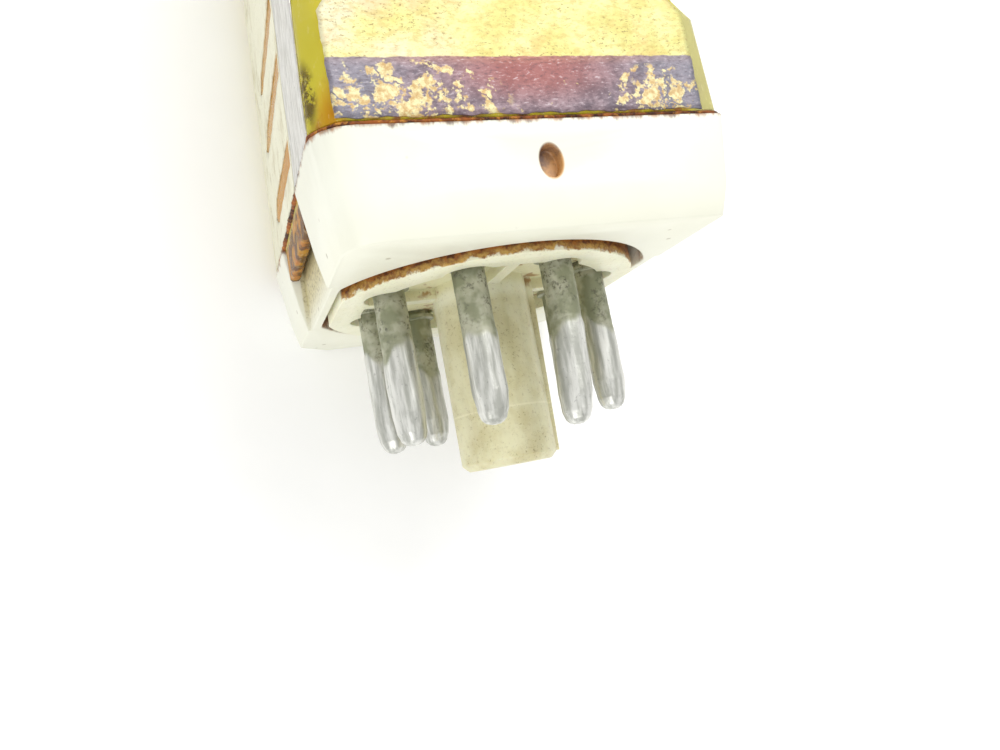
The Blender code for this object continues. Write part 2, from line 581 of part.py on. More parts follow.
def magnet():
    """Yoke, bobbin, winding, its tape and the core riveted into the yoke's foot."""
    steel = finish("yoke_steel", (0.50, 0.48, 0.42), 0.4, 1.0)
    coil = (0, -COIL_SET_BACK)
    back = -YOKE_BACK
    yoke = place("yoke", block((-YOKE_HALF_WIDTH, YOKE_FOOT_HEIGHT, back),
                               (YOKE_HALF_WIDTH, YOKE_FOOT_TOP, YOKE_FRONT)), steel)
    change(yoke, "UNION", block((-YOKE_HALF_WIDTH, YOKE_FOOT_HEIGHT + 0.2 * MM, back),
                                (YOKE_HALF_WIDTH, POLE_TOP, back + YOKE_THICKNESS)))
    change(yoke, "DIFFERENCE", rod(CORE_SHANK_RADIUS + CLEARANCE, 0, COIL_FOOT, coil))
    for side in (-1, 1):
        middle = (side * PILLAR_PLACE[0], PILLAR_PLACE[1])
        change(yoke, "DIFFERENCE", rod(SCREW_RADIUS + CLEARANCE, 0, COIL_FOOT, middle, steps=16))

    moulding = finish("bobbin_nylon", (0.75, 0.72, 0.62), 0.5)
    bore = CORE_RADIUS + CLEARANCE
    spool = ((bore, COIL_FOOT), (BOBBIN_RADIUS, COIL_FOOT), (BOBBIN_RADIUS, COIL_FOOT + BOBBIN_FLANGE),
             (TUBE_RADIUS, COIL_FOOT + BOBBIN_FLANGE), (TUBE_RADIUS, COIL_TOP - BOBBIN_FLANGE),
             (BOBBIN_RADIUS, COIL_TOP - BOBBIN_FLANGE), (BOBBIN_RADIUS, COIL_TOP), (bore, COIL_TOP))
    place("coil_bobbin", turned(spool, coil), moulding)
    low = COIL_FOOT + BOBBIN_FLANGE + CLEARANCE
    high = COIL_TOP - BOBBIN_FLANGE - CLEARANCE
    copper = finish("enamelled_copper", (0.60, 0.25, 0.08), 0.3, 0.8)
    inside = TUBE_RADIUS + CLEARANCE
    place("coil_winding", turned(((inside, low), (WINDING_RADIUS, low), (WINDING_RADIUS, high),
                                  (inside, high)), coil), copper)
    tape = finish("coil_tape_film", (0.75, 0.55, 0.15), 0.35)
    wrap = WINDING_RADIUS + CLEARANCE
    place("coil_tape", turned(((wrap, low), (wrap + TAPE_THICKNESS, low), (wrap + TAPE_THICKNESS, high),
                               (wrap, high)), coil), tape)
    iron = finish("core_iron", (0.55, 0.54, 0.52), 0.35, 1.0)
    head = YOKE_FOOT_HEIGHT - CLEARANCE
    head_radius, head_height = RIVETED_HEAD
    core = ((0, head - head_height), (head_radius, head - head_height),
            (head_radius, head), (CORE_SHANK_RADIUS, head), (CORE_SHANK_RADIUS, COIL_FOOT),
            (CORE_RADIUS, COIL_FOOT), (CORE_RADIUS, POLE_TOP - POLE_THICKNESS),
            (POLE_RADIUS, POLE_TOP - POLE_THICKNESS), (POLE_RADIUS, POLE_TOP), (0, POLE_TOP))
    place("core", turned(core, coil), iron)


def armature_clip():
    """Bent leaf on the yoke's back that keeps the armature on its edge."""
    bronze = finish("spring_bronze", (0.70, 0.52, 0.28), 0.35, 1.0)
    back = -YOKE_BACK - CLEARANCE - CLIP_THICKNESS
    low = POLE_TOP - CLIP_LENGTH
    lift = (YOKE_BACK - HINGE_SET_BACK + CLIP_REACH) * math.tan(OPEN_ANGLE)
    over = ARMATURE_TOP + CLEARANCE + lift
    top = over + CLIP_THICKNESS
    clip = place("armature_clip", block((-CLIP_HALF_WIDTH, low, back),
                                        (CLIP_HALF_WIDTH, top, back + CLIP_THICKNESS)), bronze)
    change(clip, "UNION", block((-CLIP_HALF_WIDTH, over, back),
                                (CLIP_HALF_WIDTH, top, -HINGE_SET_BACK + CLIP_REACH)))


# ---------------------------------------------------------------- armature and what it carries

def hinged(made):
    """Put a piece's origin on the armature's hinge line and tip it to the open rest position."""
    pivot = Vector((0, ARMATURE_UNDER, -HINGE_SET_BACK))
    made.data.transform(Matrix.Translation(-pivot))
    made.location = ORIGIN + pivot
    made.rotation_euler = (-OPEN_ANGLE, 0, 0)
    for modifier in made.modifiers:
        tool = modifier.object
        tool.data.transform(Matrix.Translation(-pivot))
        tool.location = made.location
        tool.rotation_euler = made.rotation_euler
    return made


def armature():
    """Armature plate, insulating carrier, two blades, their rivets and moving contacts."""
    steel = finish("armature_steel", (0.55, 0.53, 0.48), 0.35, 1.0)
    plate = place("armature", block((-ARMATURE_HALF_WIDTH, ARMATURE_UNDER, -YOKE_BACK - 0.1 * MM),
                                    (ARMATURE_HALF_WIDTH, ARMATURE_TOP, ARMATURE_FRONT)), steel)
    phenolic = finish("carrier_phenolic", (0.20, 0.10, 0.05), 0.5)
    carrier = place("contact_carrier", block((-CARRIER_HALF_WIDTH, CARRIER_UNDER, -CARRIER_BACK),
                                             (CARRIER_HALF_WIDTH, CARRIER_TOP, CARRIER_FRONT)), phenolic)
    tab_step = 0.1 * MM
    change(carrier, "UNION",
           block((-SPRING_TAB_HALF_WIDTH, CARRIER_UNDER + tab_step, CARRIER_FRONT - 2 * OVERLAP),
                 (SPRING_TAB_HALF_WIDTH, CARRIER_TOP - tab_step, SPRING_TAB_FRONT)))
    bronze = finish("spring_bronze", (0.70, 0.52, 0.28), 0.35, 1.0)
    silver = finish("contact_silver", (0.85, 0.85, 0.83), 0.3, 1.0)
    brass = finish("rivet_brass", (0.75, 0.58, 0.30), 0.35, 1.0)
    pieces = [plate, carrier]
    for side, sign in SIDES:
        x = sign * POLE_SPACING
        for target in (plate, carrier):
            change(target, "DIFFERENCE", rod(RIVET_HOLE, ARMATURE_UNDER - 4 * OVERLAP, BLADE_TOP,
                                             (x, BLADE_RIVET_LINE), steps=16))
        blade = place(f"moving_blade_{side}",
                      block((x - BLADE_WIDTH / 2, BLADE_UNDER, 0),
                            (x + BLADE_WIDTH / 2, BLADE_TOP, BLADE_FRONT)), bronze)
        for line in (BLADE_RIVET_LINE, CONTACT_LINE):
            change(blade, "DIFFERENCE", rod(RIVET_HOLE, BLADE_UNDER - 2 * OVERLAP, BLADE_TOP + 2 * OVERLAP,
                                            (x, line), steps=16))
        contact = rivet(f"moving_contact_{side}", silver, (x, CONTACT_LINE), "Y",
                        ((MOVING_FACE_LOW, BLADE_UNDER - CLEARANCE),
                         (BLADE_TOP + CLEARANCE, MOVING_FACE_HIGH)),
                        CONTACT_RADIUS, RIVET_SHANK_RADIUS)
        head_radius, head = BLADE_RIVET_HEAD
        holder = rivet(f"blade_rivet_{side}", brass, (x, BLADE_RIVET_LINE), "Y",
                       ((ARMATURE_UNDER - CLEARANCE - head, ARMATURE_UNDER - CLEARANCE),
                        (BLADE_TOP + CLEARANCE, BLADE_TOP + CLEARANCE + head)),
                       head_radius, RIVET_SHANK_RADIUS)
        pieces += [blade, contact, holder]
    for piece in pieces:
        hinged(piece)


# ---------------------------------------------------------------- fixed contacts

def contact_block():
    """Phenolic plate in front of the coil: two feet on the yoke and a shelf for the return spring."""
    phenolic = finish("block_phenolic", (0.22, 0.12, 0.06), 0.55)
    made = place("contact_block", block((-BLOCK_HALF_WIDTH, COIL_FOOT, BLOCK_BACK),
                                        (BLOCK_HALF_WIDTH, BLOCK_TOP, BLOCK_FRONT)), phenolic)
    shelf_back = BOBBIN_RADIUS - COIL_SET_BACK + 2 * CLEARANCE
    shelf_half = SPRING_RADIUS + SHELF_MARGIN
    shelf_top = BLOCK_TOP - 0.1 * MM
    change(made, "UNION", block((-shelf_half, shelf_top - SHELF_THICKNESS, shelf_back),
                                (shelf_half, shelf_top, BLOCK_BACK + OVERLAP)))
    foot_half = BLOCK_FOOT_HALF_WIDTH
    for side in (-1, 1):
        x, z = side * PILLAR_PLACE[0], PILLAR_PLACE[1]
        change(made, "UNION", block((x - foot_half, COIL_FOOT + 0.05 * MM, z - foot_half),
                                    (x + foot_half, COIL_FOOT + BLOCK_FOOT_THICKNESS, BLOCK_BACK + OVERLAP)))
        change(made, "DIFFERENCE", rod(SCREW_RADIUS + CLEARANCE, YOKE_FOOT_HEIGHT,
                                       COIL_FOOT + 2 * BLOCK_FOOT_THICKNESS, (x, z), steps=16))
        for strip_x, height in rivet_places(side):
            change(made, "DIFFERENCE", rod(RIVET_HOLE, BLOCK_BACK - 2 * OVERLAP,
                                           BLOCK_FRONT + 2 * OVERLAP, (strip_x, height), "Z", 16))


def rivet_places(side):
    """Where each strip of one side is riveted to the block."""
    return (side * POLE_SPACING, MAKE_RIVET_HEIGHT), (side * BREAK_STRIP_SIDE, BREAK_RIVET_HEIGHT)


def frame_screws():
    """Two screws that hold the block's feet and the yoke down on the header's pillars."""
    plated = finish("screw_steel", (0.62, 0.60, 0.55), 0.3, 1.0)
    under = COIL_FOOT + BLOCK_FOOT_THICKNESS + CLEARANCE
    for side, sign in SIDES:
        middle = (sign * PILLAR_PLACE[0], PILLAR_PLACE[1])
        point = HEADER_TOP + SCREW_RADIUS + SCREW_POINT
        top = under + SCREW_HEAD_HEIGHT
        profile = ((0, point), (SCREW_RADIUS, point + SCREW_POINT), (SCREW_RADIUS, under),
                   (SCREW_HEAD_RADIUS, under), (SCREW_HEAD_RADIUS, top - SCREW_EDGE),
                   (SCREW_HEAD_RADIUS - SCREW_EDGE, top), (0, top))
        screw = place(f"frame_screw_{side}", turned(profile, middle, steps=16), plated)
        reach = 2 * SCREW_HEAD_RADIUS
        change(screw, "DIFFERENCE",
               block((middle[0] - reach, top - SCREW_HEAD_HEIGHT / 2, middle[1] - SCREW_SLOT_HALF_WIDTH),
                     (middle[0] + reach, top + OVERLAP, middle[1] + SCREW_SLOT_HALF_WIDTH)))


def fixed_contacts():
    """Make and break terminals of both poles, with their contact rivets and mounting rivets."""
    brass = finish("terminal_brass", (0.72, 0.55, 0.28), 0.35, 1.0)
    silver = finish("contact_silver", (0.85, 0.85, 0.83), 0.3, 1.0)
    rivet_brass = finish("rivet_brass", (0.75, 0.58, 0.30), 0.35, 1.0)
    tab_back = STRIP_FRONT - TAB_LENGTH
    back_head, front_head = STRIP_RIVET_HEADS
    for side, sign in SIDES:
        pole = sign * POLE_SPACING
        outer = sign * BREAK_STRIP_SIDE
        for kind, middle, tab_under, face_up in (
                ("make", pole, MAKE_FACE - CONTACT_HEAD - CLEARANCE - STRIP_THICKNESS, True),
                ("break", outer, BREAK_FACE + CONTACT_HEAD + CLEARANCE, False)):
            tab_top = tab_under + STRIP_THICKNESS
            strip = place(f"{kind}_terminal_{side}",
                          block((middle - STRIP_WIDTH / 2, STRIP_FOOT_HEIGHT, STRIP_BACK),
                                (middle + STRIP_WIDTH / 2, tab_top, STRIP_FRONT)), brass)
            reach = sorted((pole - sign * STRIP_WIDTH * 0.75, middle + sign * STRIP_WIDTH / 2))
            change(strip, "UNION", block((reach[0], tab_under, tab_back), (reach[1], tab_top, STRIP_FRONT)))
            change(strip, "DIFFERENCE", rod(RIVET_HOLE, tab_under - 2 * OVERLAP, tab_top + 2 * OVERLAP,
                                            (pole, CONTACT_LINE), steps=16))
            make_place, break_place = rivet_places(sign)
            x, height = make_place if kind == "make" else break_place
            change(strip, "DIFFERENCE", rod(RIVET_HOLE, STRIP_BACK - 2 * OVERLAP, STRIP_FRONT + 2 * OVERLAP,
                                            (x, height), "Z", 16))
            rivet(f"{kind}_rivet_{side}", rivet_brass, (x, height), "Z",
                  ((BLOCK_BACK - CLEARANCE - back_head, BLOCK_BACK - CLEARANCE),
                   (STRIP_FRONT + CLEARANCE, STRIP_FRONT + CLEARANCE + front_head)),
                  STRIP_RIVET_RADIUS, RIVET_SHANK_RADIUS)
            under = tab_under - CLEARANCE
            above = tab_top + CLEARANCE
            if face_up:
                heads = ((under - THIN_HEAD, under), (above, MAKE_FACE))
            else:
                heads = ((BREAK_FACE, under), (above, above + THIN_HEAD))
            rivet(f"{kind}_contact_{side}", silver, (pole, CONTACT_LINE), "Y", heads,
                  CONTACT_RADIUS, RIVET_SHANK_RADIUS)


def return_spring():
    """Compression spring between the block's shelf and the carrier's tab."""
    steel = finish("spring_steel", (0.6, 0.6, 0.6), 0.3, 1.0)
    z = (BOBBIN_RADIUS - COIL_SET_BACK + SPRING_TAB_FRONT) / 2 + 0.4 * MM
    lift = (z + HINGE_SET_BACK - SPRING_RADIUS) * math.tan(OPEN_ANGLE)
    wall = SPRING_WIRE_RADIUS + CLEARANCE
    low = BLOCK_TOP + wall
    high = CARRIER_UNDER + lift - wall
    coil = SPRING_RADIUS - SPRING_WIRE_RADIUS
    per_turn = 12
    count = SPRING_TURNS * per_turn
    points = []
    for i in range(count + 1):
        angle = 2 * math.pi * i / per_turn
        points.append((coil * math.cos(angle), low + (high - low) * i / count, z + coil * math.sin(angle)))
    wire("return_spring", points, SPRING_WIRE_RADIUS, steel, 1)


def leads():
    """Insulated wires from the coil, the blades and the fixed terminals into the pins' tails."""
    sleeve = finish("lead_sleeve", (0.80, 0.78, 0.70), 0.5)
    in_pin = PIN_TAIL - LEAD_IN_PIN
    tail = STRIP_FOOT_HEIGHT - CLEARANCE
    strip = (STRIP_BACK + STRIP_FRONT) / 2
    beside = YOKE_HALF_WIDTH + CLEARANCE + 1.7 * LEAD_RADIUS
    outside = PILLAR_PLACE[0] + PILLAR_RADIUS + CLEARANCE + LEAD_RADIUS
    behind_axis = HINGE_SET_BACK + BLADE_RIVET_LINE
    blade_end = BLADE_TOP + behind_axis * math.tan(OPEN_ANGLE) + 5 * CLEARANCE
    over = PIN_TAIL + LEAD_BEND
    make_x, make_z = pin_place(PIN_ANGLES[0])
    break_x, break_z = pin_place(PIN_ANGLES[1])
    common_x, common_z = pin_place(PIN_ANGLES[2])
    coil_x, coil_z = pin_place(PIN_ANGLES[3])
    for side, sign in SIDES:
        routes = {
            "make": ((POLE_SPACING, tail, strip),
                     (POLE_SPACING - 0.2 * MM, over, strip - 1.0 * MM),
                     (make_x + 0.7 * MM, over, make_z + 2.0 * MM),
                     (make_x, over - 0.4 * MM, make_z + 0.2 * MM),
                     (make_x, PIN_TAIL - 0.5 * MM, make_z), (make_x, in_pin, make_z)),
            "break": ((BREAK_STRIP_SIDE, tail, strip),
                      (outside - 0.3 * MM, over + 0.1 * MM, strip - 1.2 * MM),
                      (outside, over, strip - 4.5 * MM),
                      (break_x + 1.2 * MM, over, break_z + 1.6 * MM),
                      (break_x, over - 0.4 * MM, break_z + 0.2 * MM),
                      (break_x, PIN_TAIL - 0.5 * MM, break_z), (break_x, in_pin, break_z)),
            "common": ((POLE_SPACING, blade_end, BLADE_RIVET_LINE),
                       (POLE_SPACING + 1.0 * MM, blade_end + 1.3 * MM, -0.5 * MM),
                       (beside - 0.8 * MM, blade_end, -2.6 * MM),
                       (beside + 0.1 * MM, blade_end - 4 * MM, -3.6 * MM),
                       (beside, 0.6 * COIL_TOP, -3.9 * MM), (beside, COIL_FOOT, -3.7 * MM),
                       (beside - 0.5 * MM, over + 1.6 * MM, common_z),
                       (common_x, over - 0.2 * MM, common_z),
                       (common_x, PIN_TAIL - 0.5 * MM, common_z), (common_x, in_pin, common_z)),
            "coil": ((8.75 * MM, COIL_FOOT + 3 * MM, -7.0 * MM),
                     (beside - 0.1 * MM, COIL_FOOT + 1.6 * MM, -7.6 * MM),
                     (beside, YOKE_FOOT_HEIGHT, -8.2 * MM),
                     (beside - 1.4 * MM, over + 1.4 * MM, coil_z - 0.4 * MM),
                     (coil_x + 2.0 * MM, over + 0.3 * MM, coil_z), (coil_x, over - 0.4 * MM, coil_z),
                     (coil_x, PIN_TAIL - 0.5 * MM, coil_z), (coil_x, in_pin, coil_z)),
        }
        for kind, stops in routes.items():
            route = smooth_route([(sign * x, y, z) for x, y, z in stops], 3)
            wire(f"{kind}_lead_{side}", route, LEAD_RADIUS, sleeve)


def main():
    clear_scene()
    base_shell()
    pin_header()
    contact_pins()
    cover()
    labels()
    magnet()
    armature_clip()
    armature()
    contact_block()
    frame_screws()
    fixed_contacts()
    return_spring()
    leads()


main()
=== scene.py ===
"""Looks of the plug-in control relay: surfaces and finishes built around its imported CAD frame.

Shapes are worked out in millimetres in the relay's own directions: x across, y up from the seating
face, z from the pin circle's axis out of the label face. put() turns them into the frame's metres.
"""
import math

import bmesh
import bpy
import numpy as np
from mathutils import Euler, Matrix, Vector


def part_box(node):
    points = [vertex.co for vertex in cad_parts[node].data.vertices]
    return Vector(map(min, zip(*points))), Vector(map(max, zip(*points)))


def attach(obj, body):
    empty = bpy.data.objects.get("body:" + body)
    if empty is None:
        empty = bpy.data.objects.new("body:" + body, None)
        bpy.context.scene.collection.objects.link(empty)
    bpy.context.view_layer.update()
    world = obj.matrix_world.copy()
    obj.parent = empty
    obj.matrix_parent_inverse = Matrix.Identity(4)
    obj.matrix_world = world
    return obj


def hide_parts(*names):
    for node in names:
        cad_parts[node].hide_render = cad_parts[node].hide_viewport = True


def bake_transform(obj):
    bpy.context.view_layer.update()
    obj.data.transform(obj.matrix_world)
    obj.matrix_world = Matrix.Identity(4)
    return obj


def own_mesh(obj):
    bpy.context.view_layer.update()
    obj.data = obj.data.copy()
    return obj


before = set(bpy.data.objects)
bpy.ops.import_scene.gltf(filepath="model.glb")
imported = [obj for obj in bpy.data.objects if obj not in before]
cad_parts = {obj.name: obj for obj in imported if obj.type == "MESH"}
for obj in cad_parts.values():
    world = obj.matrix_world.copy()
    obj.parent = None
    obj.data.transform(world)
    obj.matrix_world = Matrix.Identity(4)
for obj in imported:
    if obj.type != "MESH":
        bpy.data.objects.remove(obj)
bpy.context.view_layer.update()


# ---------------------------------------------------------------- camera
# The relay is looked down on from beyond its pins, close to, so the base fills the middle of the
# view and the cover leaves it at the top.
MM = 0.001
VIEW_PLACE = (-21.669, -34.047, 77.892)
VIEW_TURN = (10.413, -18.231, -11.073)

lens = bpy.data.cameras.new("camera")
lens.lens = 29.93
lens.clip_start = 1 * MM
camera = bpy.data.objects.new("camera", lens)
camera.location = Vector(VIEW_PLACE) * MM
camera.rotation_euler = Euler([math.radians(turn) for turn in VIEW_TURN])
bpy.context.scene.collection.objects.link(camera)
bpy.context.scene.camera = camera


# ---------------------------------------------------------------- sheet it lies on
# A sheet of smooth white card that glows a little, so that it is almost without shade.
def linear(hex_colour):
    """An sRGB hex colour as linear red, green, blue and alpha."""
    shares = [int(hex_colour[i:i + 2], 16) / 255 for i in (1, 3, 5)]
    return (*[c / 12.92 if c <= 0.04045 else ((c + 0.055) / 1.055) ** 2.4 for c in shares], 1.0)


def node(tree, kind, values=None, out=0, **settings):
    """Add one shader node; values fill its sockets: links, constants or hex colours. Returns one output."""
    made = tree.nodes.new("ShaderNode" + kind)
    for name, value in settings.items():
        setattr(made, name, value)
    for socket, value in (values or {}).items():
        if isinstance(value, bpy.types.NodeSocket):
            tree.links.new(value, made.inputs[socket])
        else:
            made.inputs[socket].default_value = linear(value) if isinstance(value, str) else value
    return made.outputs[out] if made.outputs else made


def material(name, build):
    """A new material; build(tree) lays its nodes and returns the shader's output."""
    made = bpy.data.materials.new(name)
    made.use_nodes = True
    made.node_tree.nodes.clear()
    node(made.node_tree, "OutputMaterial", {"Surface": build(made.node_tree)})
    return made


TABLE_GLOW = 0.13


def white_card(tree):
    """Coated card on a light table: flat white with a breath of fibre, glowing a little from below."""
    place = node(tree, "TexCoord", out="Object")
    fibre = node(tree, "TexNoise", {"Vector": place, "Scale": 400.0, "Detail": 3.0}, out="Fac")
    colour = node(tree, "Mix", {0: fibre, 6: "#F4F4F3", 7: "#F8F8F7"}, 2, data_type="RGBA")
    return node(tree, "BsdfPrincipled", {"Base Color": colour, "Roughness": 0.8, "Emission Color": colour,
                                         "Emission Strength": TABLE_GLOW})


FLOOR_HALF = 1.5
floor_mesh = bpy.data.meshes.new("card")
floor_mesh.from_pydata([(-FLOOR_HALF, -FLOOR_HALF, 0), (FLOOR_HALF, -FLOOR_HALF, 0),
                        (FLOOR_HALF, FLOOR_HALF, 0), (-FLOOR_HALF, FLOOR_HALF, 0)], [], [(0, 1, 2, 3)])
floor_mesh.materials.append(material("white_card", white_card))
card = bpy.data.objects.new("card", floor_mesh)
card.location.z = -0.05 * MM
bpy.context.scene.collection.objects.link(card)


# ---------------------------------------------------------------- light
# A bright white room and one large soft lamp high over the label face, so the only shadow is a faint
# one, with a small lamp beyond the pins at the lower left that draws the highlights down them.
ROOM_LIGHT = 0.84
LAMPS = (("key", (110, 170, 300), 200, 0.55), ("pin_glint", (-110, -190, 150), 90, 0.14))

room = bpy.data.worlds.new("white_room")
room.use_nodes = True
room.node_tree.nodes["Background"].inputs["Color"].default_value = linear("#FFFFFF")
room.node_tree.nodes["Background"].inputs["Strength"].default_value = ROOM_LIGHT
bpy.context.scene.world = room
bpy.context.scene.view_settings.view_transform = "Standard"
for lamp_name, lamp_place, lamp_size, lamp_watts in LAMPS:
    lamp = bpy.data.lights.new(lamp_name, "AREA")
    lamp.shape = "DISK"
    lamp.size = lamp_size * MM
    lamp.energy = lamp_watts
    lamp_object = bpy.data.objects.new(lamp_name, lamp)
    lamp_object.location = Vector(lamp_place) * MM
    lamp_object.rotation_euler = (-lamp_object.location).to_track_quat("-Z", "Y").to_euler()
    bpy.context.scene.collection.objects.link(lamp_object)


# ---------------------------------------------------------------- base
# The collar that closes the relay below: ivory urea moulding with leaning walls, a round opening for
# the pin header, and a channel in each side for the cover's tongue. Rust has crept in along the rim.
base_low, base_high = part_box("base_shell")
SEAT = base_low.y / MM
AXIS = (base_low.z + base_high.z) / 2 / MM
RIM_HEIGHT = 7.0
OPENING_RADIUS = 13.16
DIMPLE = (0.6, 4.2)
RUST = ("#5A2C0A", "#A8681E")


def relay_mm(tree):
    """Object coordinates in millimetres from the middle of the seating face."""
    place = node(tree, "TexCoord", out="Object")
    return node(tree, "Mapping", {"Vector": place, "Location": (0, -SEAT, -AXIS),
                                  "Scale": (1 / MM, 1 / MM, 1 / MM)})


def ramp(tree, value, none, full):
    """A value turned into a smooth share: nothing at the first end, all of it at the second."""
    return node(tree, "MapRange", {"Value": value, "From Min": none, "From Max": full},
                interpolation_type="SMOOTHSTEP")


def times(tree, *shares):
    """The product of several shares."""
    product = shares[0]
    for share in shares[1:]:
        product = node(tree, "Math", {0: product, 1: share}, operation="MULTIPLY")
    return product


def grain(tree, place, size, detail=3.0, rough=0.55, stretch=None):
    """Noise whose blotches are size millimetres across, drawn out along stretch where it is given."""
    if stretch:
        place = node(tree, "Mapping", {"Vector": place, "Scale": stretch})
    return node(tree, "TexNoise", {"Vector": place, "Scale": 1 / size, "Detail": detail, "Roughness": rough})


def over(tree, share, under, upper):
    """One colour laid over another by a share."""
    return node(tree, "Mix", {0: share, 6: under, 7: upper}, 2, data_type="RGBA")


def stained(tree, colour, stain, *shares):
    """A colour with a stain laid over it where all the shares meet."""
    return over(tree, times(tree, *shares), colour, stain)


def axes(tree, place):
    """The x, y and z of a place."""
    return node(tree, "SeparateXYZ", {0: place}).node.outputs


def distance(tree, place, centre, scale):
    """How far a place is from a centre, with each axis scaled first."""
    shift = tuple(-c * s for c, s in zip(centre, scale))
    moved = node(tree, "Mapping", {"Vector": place, "Location": shift, "Scale": scale})
    return node(tree, "VectorMath", {0: moved}, "Value", operation="LENGTH")


def ivory_urea(tree):
    """Moulded urea plastic: warm white, faintly mottled, satin, with rust and dirt in its corners and painted
    shade in the channels and the dimple.
    """
    place = relay_mm(tree)
    x, y, z = axes(tree, place)
    far_x = node(tree, "Math", {0: x}, operation="ABSOLUTE")
    far_z = node(tree, "Math", {0: z}, operation="ABSOLUTE")
    colour = over(tree, grain(tree, place, 5.0), "#F1F2E5", "#E7E7D5")
    # a darker, yellower tone towards the foot
    colour = stained(tree, colour, "#E6E4CC", ramp(tree, y, 2.6, 0.0), 0.30)
    # khaki in the tongue channels: dirt, with painted shade of the recess laid in with it, and dark specks of
    # dirt
    channel = times(tree, ramp(tree, far_x, 13.0, 12.8), ramp(tree, far_z, 6.7, 6.4),
                    ramp(tree, far_x, 12.0, 12.3), ramp(tree, y, -0.4, 2.6))
    speckle = ramp(tree, grain(tree, place, 0.35, 4.0, 0.7), 0.48, 0.66)
    colour = stained(tree, colour, "#C2B67C", channel, 0.85)
    colour = stained(tree, colour, "#6E5E2C", channel, speckle, 0.8)
    # rust below the rim, in tongues that run down a little way
    creep = grain(tree, place, 1.1, 5.0, 0.65, (1, 0.25, 1))
    reach = node(tree, "Math", {0: creep, 1: 1.5, 2: RIM_HEIGHT - 1.05}, operation="MULTIPLY_ADD")
    below_rim = node(tree, "Math", {0: y, 1: reach}, operation="SUBTRACT")
    rim = times(tree, ramp(tree, below_rim, -0.05, 0.30), ramp(tree, y, RIM_HEIGHT + 0.3, RIM_HEIGHT + 0.1))
    # rust on the wall of the round opening
    radius = distance(tree, place, (0, 0, 0), (1, 0, 1))
    wall = times(tree, ramp(tree, radius, OPENING_RADIUS + 0.20, OPENING_RADIUS + 0.02),
                 ramp(tree, y, 2.6, 2.0), ramp(tree, y, -0.05, 0.2), ramp(tree, far_x, 11.95, 11.8),
                 ramp(tree, grain(tree, place, 1.6, 5.0, 0.7), 0.40, 0.52))
    # rust caught in the dimple, with painted shade across the hollow: dark on one side, light on the other
    dimple = distance(tree, place, (*DIMPLE, 0), (1.33, 0.95, 0))
    pit = times(tree, ramp(tree, dimple, 1.22, 1.04), ramp(tree, z, 14.0, 14.4))
    blotch = grain(tree, place, 0.7, 5.0, 0.7)
    rust = over(tree, ramp(tree, blotch, 0.38, 0.60), *RUST)
    # painted shade: the dimple's rust runs from dark to light across it, the way light falls into a hollow
    pit_shading = node(tree, "Math", {0: x, 1: 0.6, 2: node(tree, "Math", {0: y, 1: -0.5}, operation="MULTIPLY")},
                operation="MULTIPLY_ADD")
    pit_shading = node(tree, "Math", {0: blotch, 1: 3.0, 2: pit_shading}, operation="MULTIPLY_ADD")
    pit_rust_and_shade = over(tree, ramp(tree, pit_shading, -1.1, 0.5), "#63340F", "#D89E54")
    colour = stained(tree, colour, rust, rim, 0.85)
    colour = stained(tree, colour, rust, wall, 0.8)
    colour = stained(tree, colour, pit_rust_and_shade, pit, 0.92)
    # a few dark specks pressed into the surface
    dots = node(tree, "TexVoronoi", {"Vector": place, "Scale": 0.42, "Randomness": 1.0}, "Distance")
    colour = stained(tree, colour, "#8A7A58", ramp(tree, dots, 0.10, 0.05), 0.5)
    rough = node(tree, "MapRange", {"Value": grain(tree, place, 1.2), "To Min": 0.30, "To Max": 0.50})
    skin = node(tree, "Bump", {"Height": grain(tree, place, 0.25, 4.0), "Strength": 0.25,
                               "Distance": 0.02 * MM})
    return node(tree, "BsdfPrincipled", {"Base Color": colour, "Roughness": rough, "Normal": skin,
                                         "IOR": 1.6, "Specular IOR Level": 0.45})


def softened(cad_node, name, edge, steps=2, sharp=30):
    """A merged copy of a CAD node: its triangles made whole faces and its sharp edges rounded."""
    work = bmesh.new()
    work.from_mesh(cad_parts[cad_node].data)
    bmesh.ops.remove_doubles(work, verts=work.verts, dist=0.001 * MM)
    bmesh.ops.dissolve_limit(work, angle_limit=math.radians(1), verts=work.verts, edges=work.edges)
    mesh = bpy.data.meshes.new(name)
    work.to_mesh(mesh)
    work.free()
    mesh.shade_smooth()
    made = bpy.data.objects.new(name, mesh)
    bpy.context.scene.collection.objects.link(made)
    if edge:
        round_edge = made.modifiers.new("round_edge", "BEVEL")
        round_edge.width = edge * MM
        round_edge.segments = steps
        round_edge.limit_method = "ANGLE"
        round_edge.angle_limit = math.radians(sharp)
        round_edge.harden_normals = True
        round_edge.use_clamp_overlap = False
    return made


def fit(piece, finish, slot, body, *nodes):
    """Give a piece its finish, the body it rides on, if it isn't blended, and the CAD nodes it stands for."""
    piece.data.materials.clear()
    piece.data.materials.append(finish)
    if body:
        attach(piece, body)
    if nodes:
        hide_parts(*nodes)
    return piece


fit(softened("base_shell", "base_moulding", 0.12), material("ivory_urea", ivory_urea),
    "ivory_base", "base", "base_shell")


# ---------------------------------------------------------------- pin header
# The round insulator that holds the pins: cream nylon with a ring, four ribs and a keyed centre post,
# moulded in one. It has yellowed more than the base and rust has washed into the groove round it.
RING_RADIUS = 12.2
RING_INSIDE = 9.5
POST_RADIUS = 3.75
RIDGE_LEAST = 0.3
RIDGE_SINKS_BELOW = -8
RIDGE_END_SHARE = 0.3


